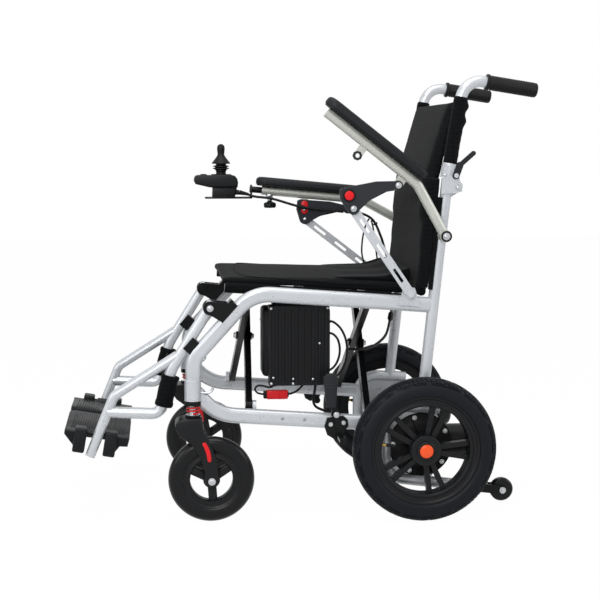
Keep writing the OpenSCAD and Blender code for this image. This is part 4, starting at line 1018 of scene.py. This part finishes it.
refined(lower_back, woven)
clear_posts(lower_back, BACK, 16.2)
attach(lower_back, "left_frame")
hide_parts("back_upholstery_lower")
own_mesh(lower_back)
hem = [(15.4, a) for a in range(215, 326, 10)] + [(12.8, a) for a in range(325, 214, -10)]
for side, s in SIDES:
    rows = [[BACK @ Vector((s * 0.212 + r * math.cos(math.radians(a)) / 1000,
                            r * math.sin(math.radians(a)) / 1000, z / 1000))
             for r, a in hem] for z in (-140, -100, -60, -20, 20, 62)]
    settle("back_post_hem_" + side, lofted(rows), woven, side + "_frame", 60)

flap_line = ((-188, 522), (-174, 527), (-146, 527.5), (-108, 526), (-74, 526.5), (-48, 530), (-34, 537),
             (-22, 547), (-17, 544),
             (-15, 534), (-16, 524), (-20, 511), (-60, 514), (-110, 518))
rows = [[mm(x, y + 4 * math.sin(x * 0.021 + 1) * (y < -40) - 0.0002 * x * x * (y < -100),
            z + 1.5 * math.sin(x * 0.05) * (z > 525)) for y, z in flap_line] for x in range(-180, 181, 15)]
flap = settle("back_flap", lofted(rows), woven, None, 180)
refined(refined(flap, woven), woven)
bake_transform(flap)

# Upper back: a padded panel between the folding posts, thicker at its foot, with a sleeve sewn round
# each post. The top edge sags between the posts.
UPPER = Matrix.Translation(mm(0, 68.3, 830)) @ Matrix.Rotation(math.radians(-9.18), 4, "X")
half = ((0, 1.1), (90, 1.08), (150, 1.04), (176, 1), (186, 0.93), (196, 0.8), (206, 0.6))
rows = []
for k in range(12):
    up = k / 11
    front, thick = -40 + 23 * up, 19 - 7 * up
    ring = [(x, front * d) for x, d in half] + [(202, front * 0.6 + thick * 0.5), (186, front + thick),
                                                (90, front + thick - 1), (0, front + thick - 2)]
    ring += [(-x, y) for x, y in reversed(ring[1:-1])]
    rows.append([UPPER @ Vector((x / 1000, y / 1000, (-99 + up * (181 - 16 * (1 - (x / 200) ** 2))) / 1000))
                 for x, y in ring])
upper_back = stuffed("upper_back_panel", lofted(rows), 5, 4)
refined(upper_back, woven)
clear_posts(upper_back, UPPER, 16.4)
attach(upper_back, "upper_back_left")
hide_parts("back_upholstery_upper")
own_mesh(upper_back)
for side, s in SIDES:
    steps = [(12.9, -56)] + [(15 + 0.2 * math.sin(k * 1.3) + 0.3 * math.sin(k * 0.37), -56 + k * 3.4)
                             for k in range(43)]
    steps += [(12.9, 90), (12.9, -56)]
    bm = turned(steps, Vector((s * 0.212, 0, 0)), (0, 0, 1), 36)
    for v in bm.verts:
        if v.co.y > 0.004:
            z = v.co.z * 1000
            v.co.y += 0.005 * (math.exp(-((z - 71) / 8) ** 2)
                               + 1.1 * math.exp(-((z - 39) / 9) ** 2)) * (v.co.y / 0.015)
    bmesh.ops.transform(bm, matrix=UPPER, verts=bm.verts)
    sleeve = settle("post_sleeve_" + side, bm, woven, "upper_back_" + side, 60)

# Calf strap: a padded band of the same cloth behind the calves, sewn to a sleeve on each hanger tube.
CALF = Matrix.Translation(mm(0, -551.9, 311.7)) @ Matrix.Rotation(math.radians(-14.14), 4, "X")
for side, s in SIDES:
    bm = turned(((12.9, 9), (16.2, 9), (17.6, 7), (17.8, 2), (16.6, -3), (17.4, -14), (17.8, -24),
                 (17.2, -36), (16.6, -46),
                 (17.8, -52), (17.6, -58), (16.2, -60), (12.9, -60), (12.9, 9)),
                Vector((s * 0.205, 0, 0)), (0, 0, 1), 36)
    for v in bm.verts:
        if v.co.y > 0.005:
            v.co.y *= 1.22 + 0.05 * math.sin(v.co.z * 210)
    bmesh.ops.transform(bm, matrix=CALF, verts=bm.verts)
    sleeve = settle("calf_sleeve_" + side, bm, woven, "legrest_" + side, 60)
edge = ((1.2, 0), (2.2, -1.6), (2.2, -5), (1.5, -7), (1.9, -27), (1.5, -47), (2.2, -49), (2.2, -52.4),
        (1.2, -54),
        (-1.2, -54), (-2.2, -52.4), (-2.2, -49), (-1.5, -47), (-1.9, -27), (-1.5, -7), (-2.2, -5),
        (-2.2, -1.6),
        (-1.2, 0))
rows = []
for k in range(33):
    x = -192 + 12 * k
    sag = 9 * (1 - (x / 192) ** 2)
    rows.append([CALF @ Vector((x / 1000, (y + sag) / 1000, (z - 0.2 * sag) / 1000)) for y, z in edge])
band = settle("calf_band", lofted(rows), woven, "legrest_left", 60)
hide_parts("calf_strap")
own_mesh(band)
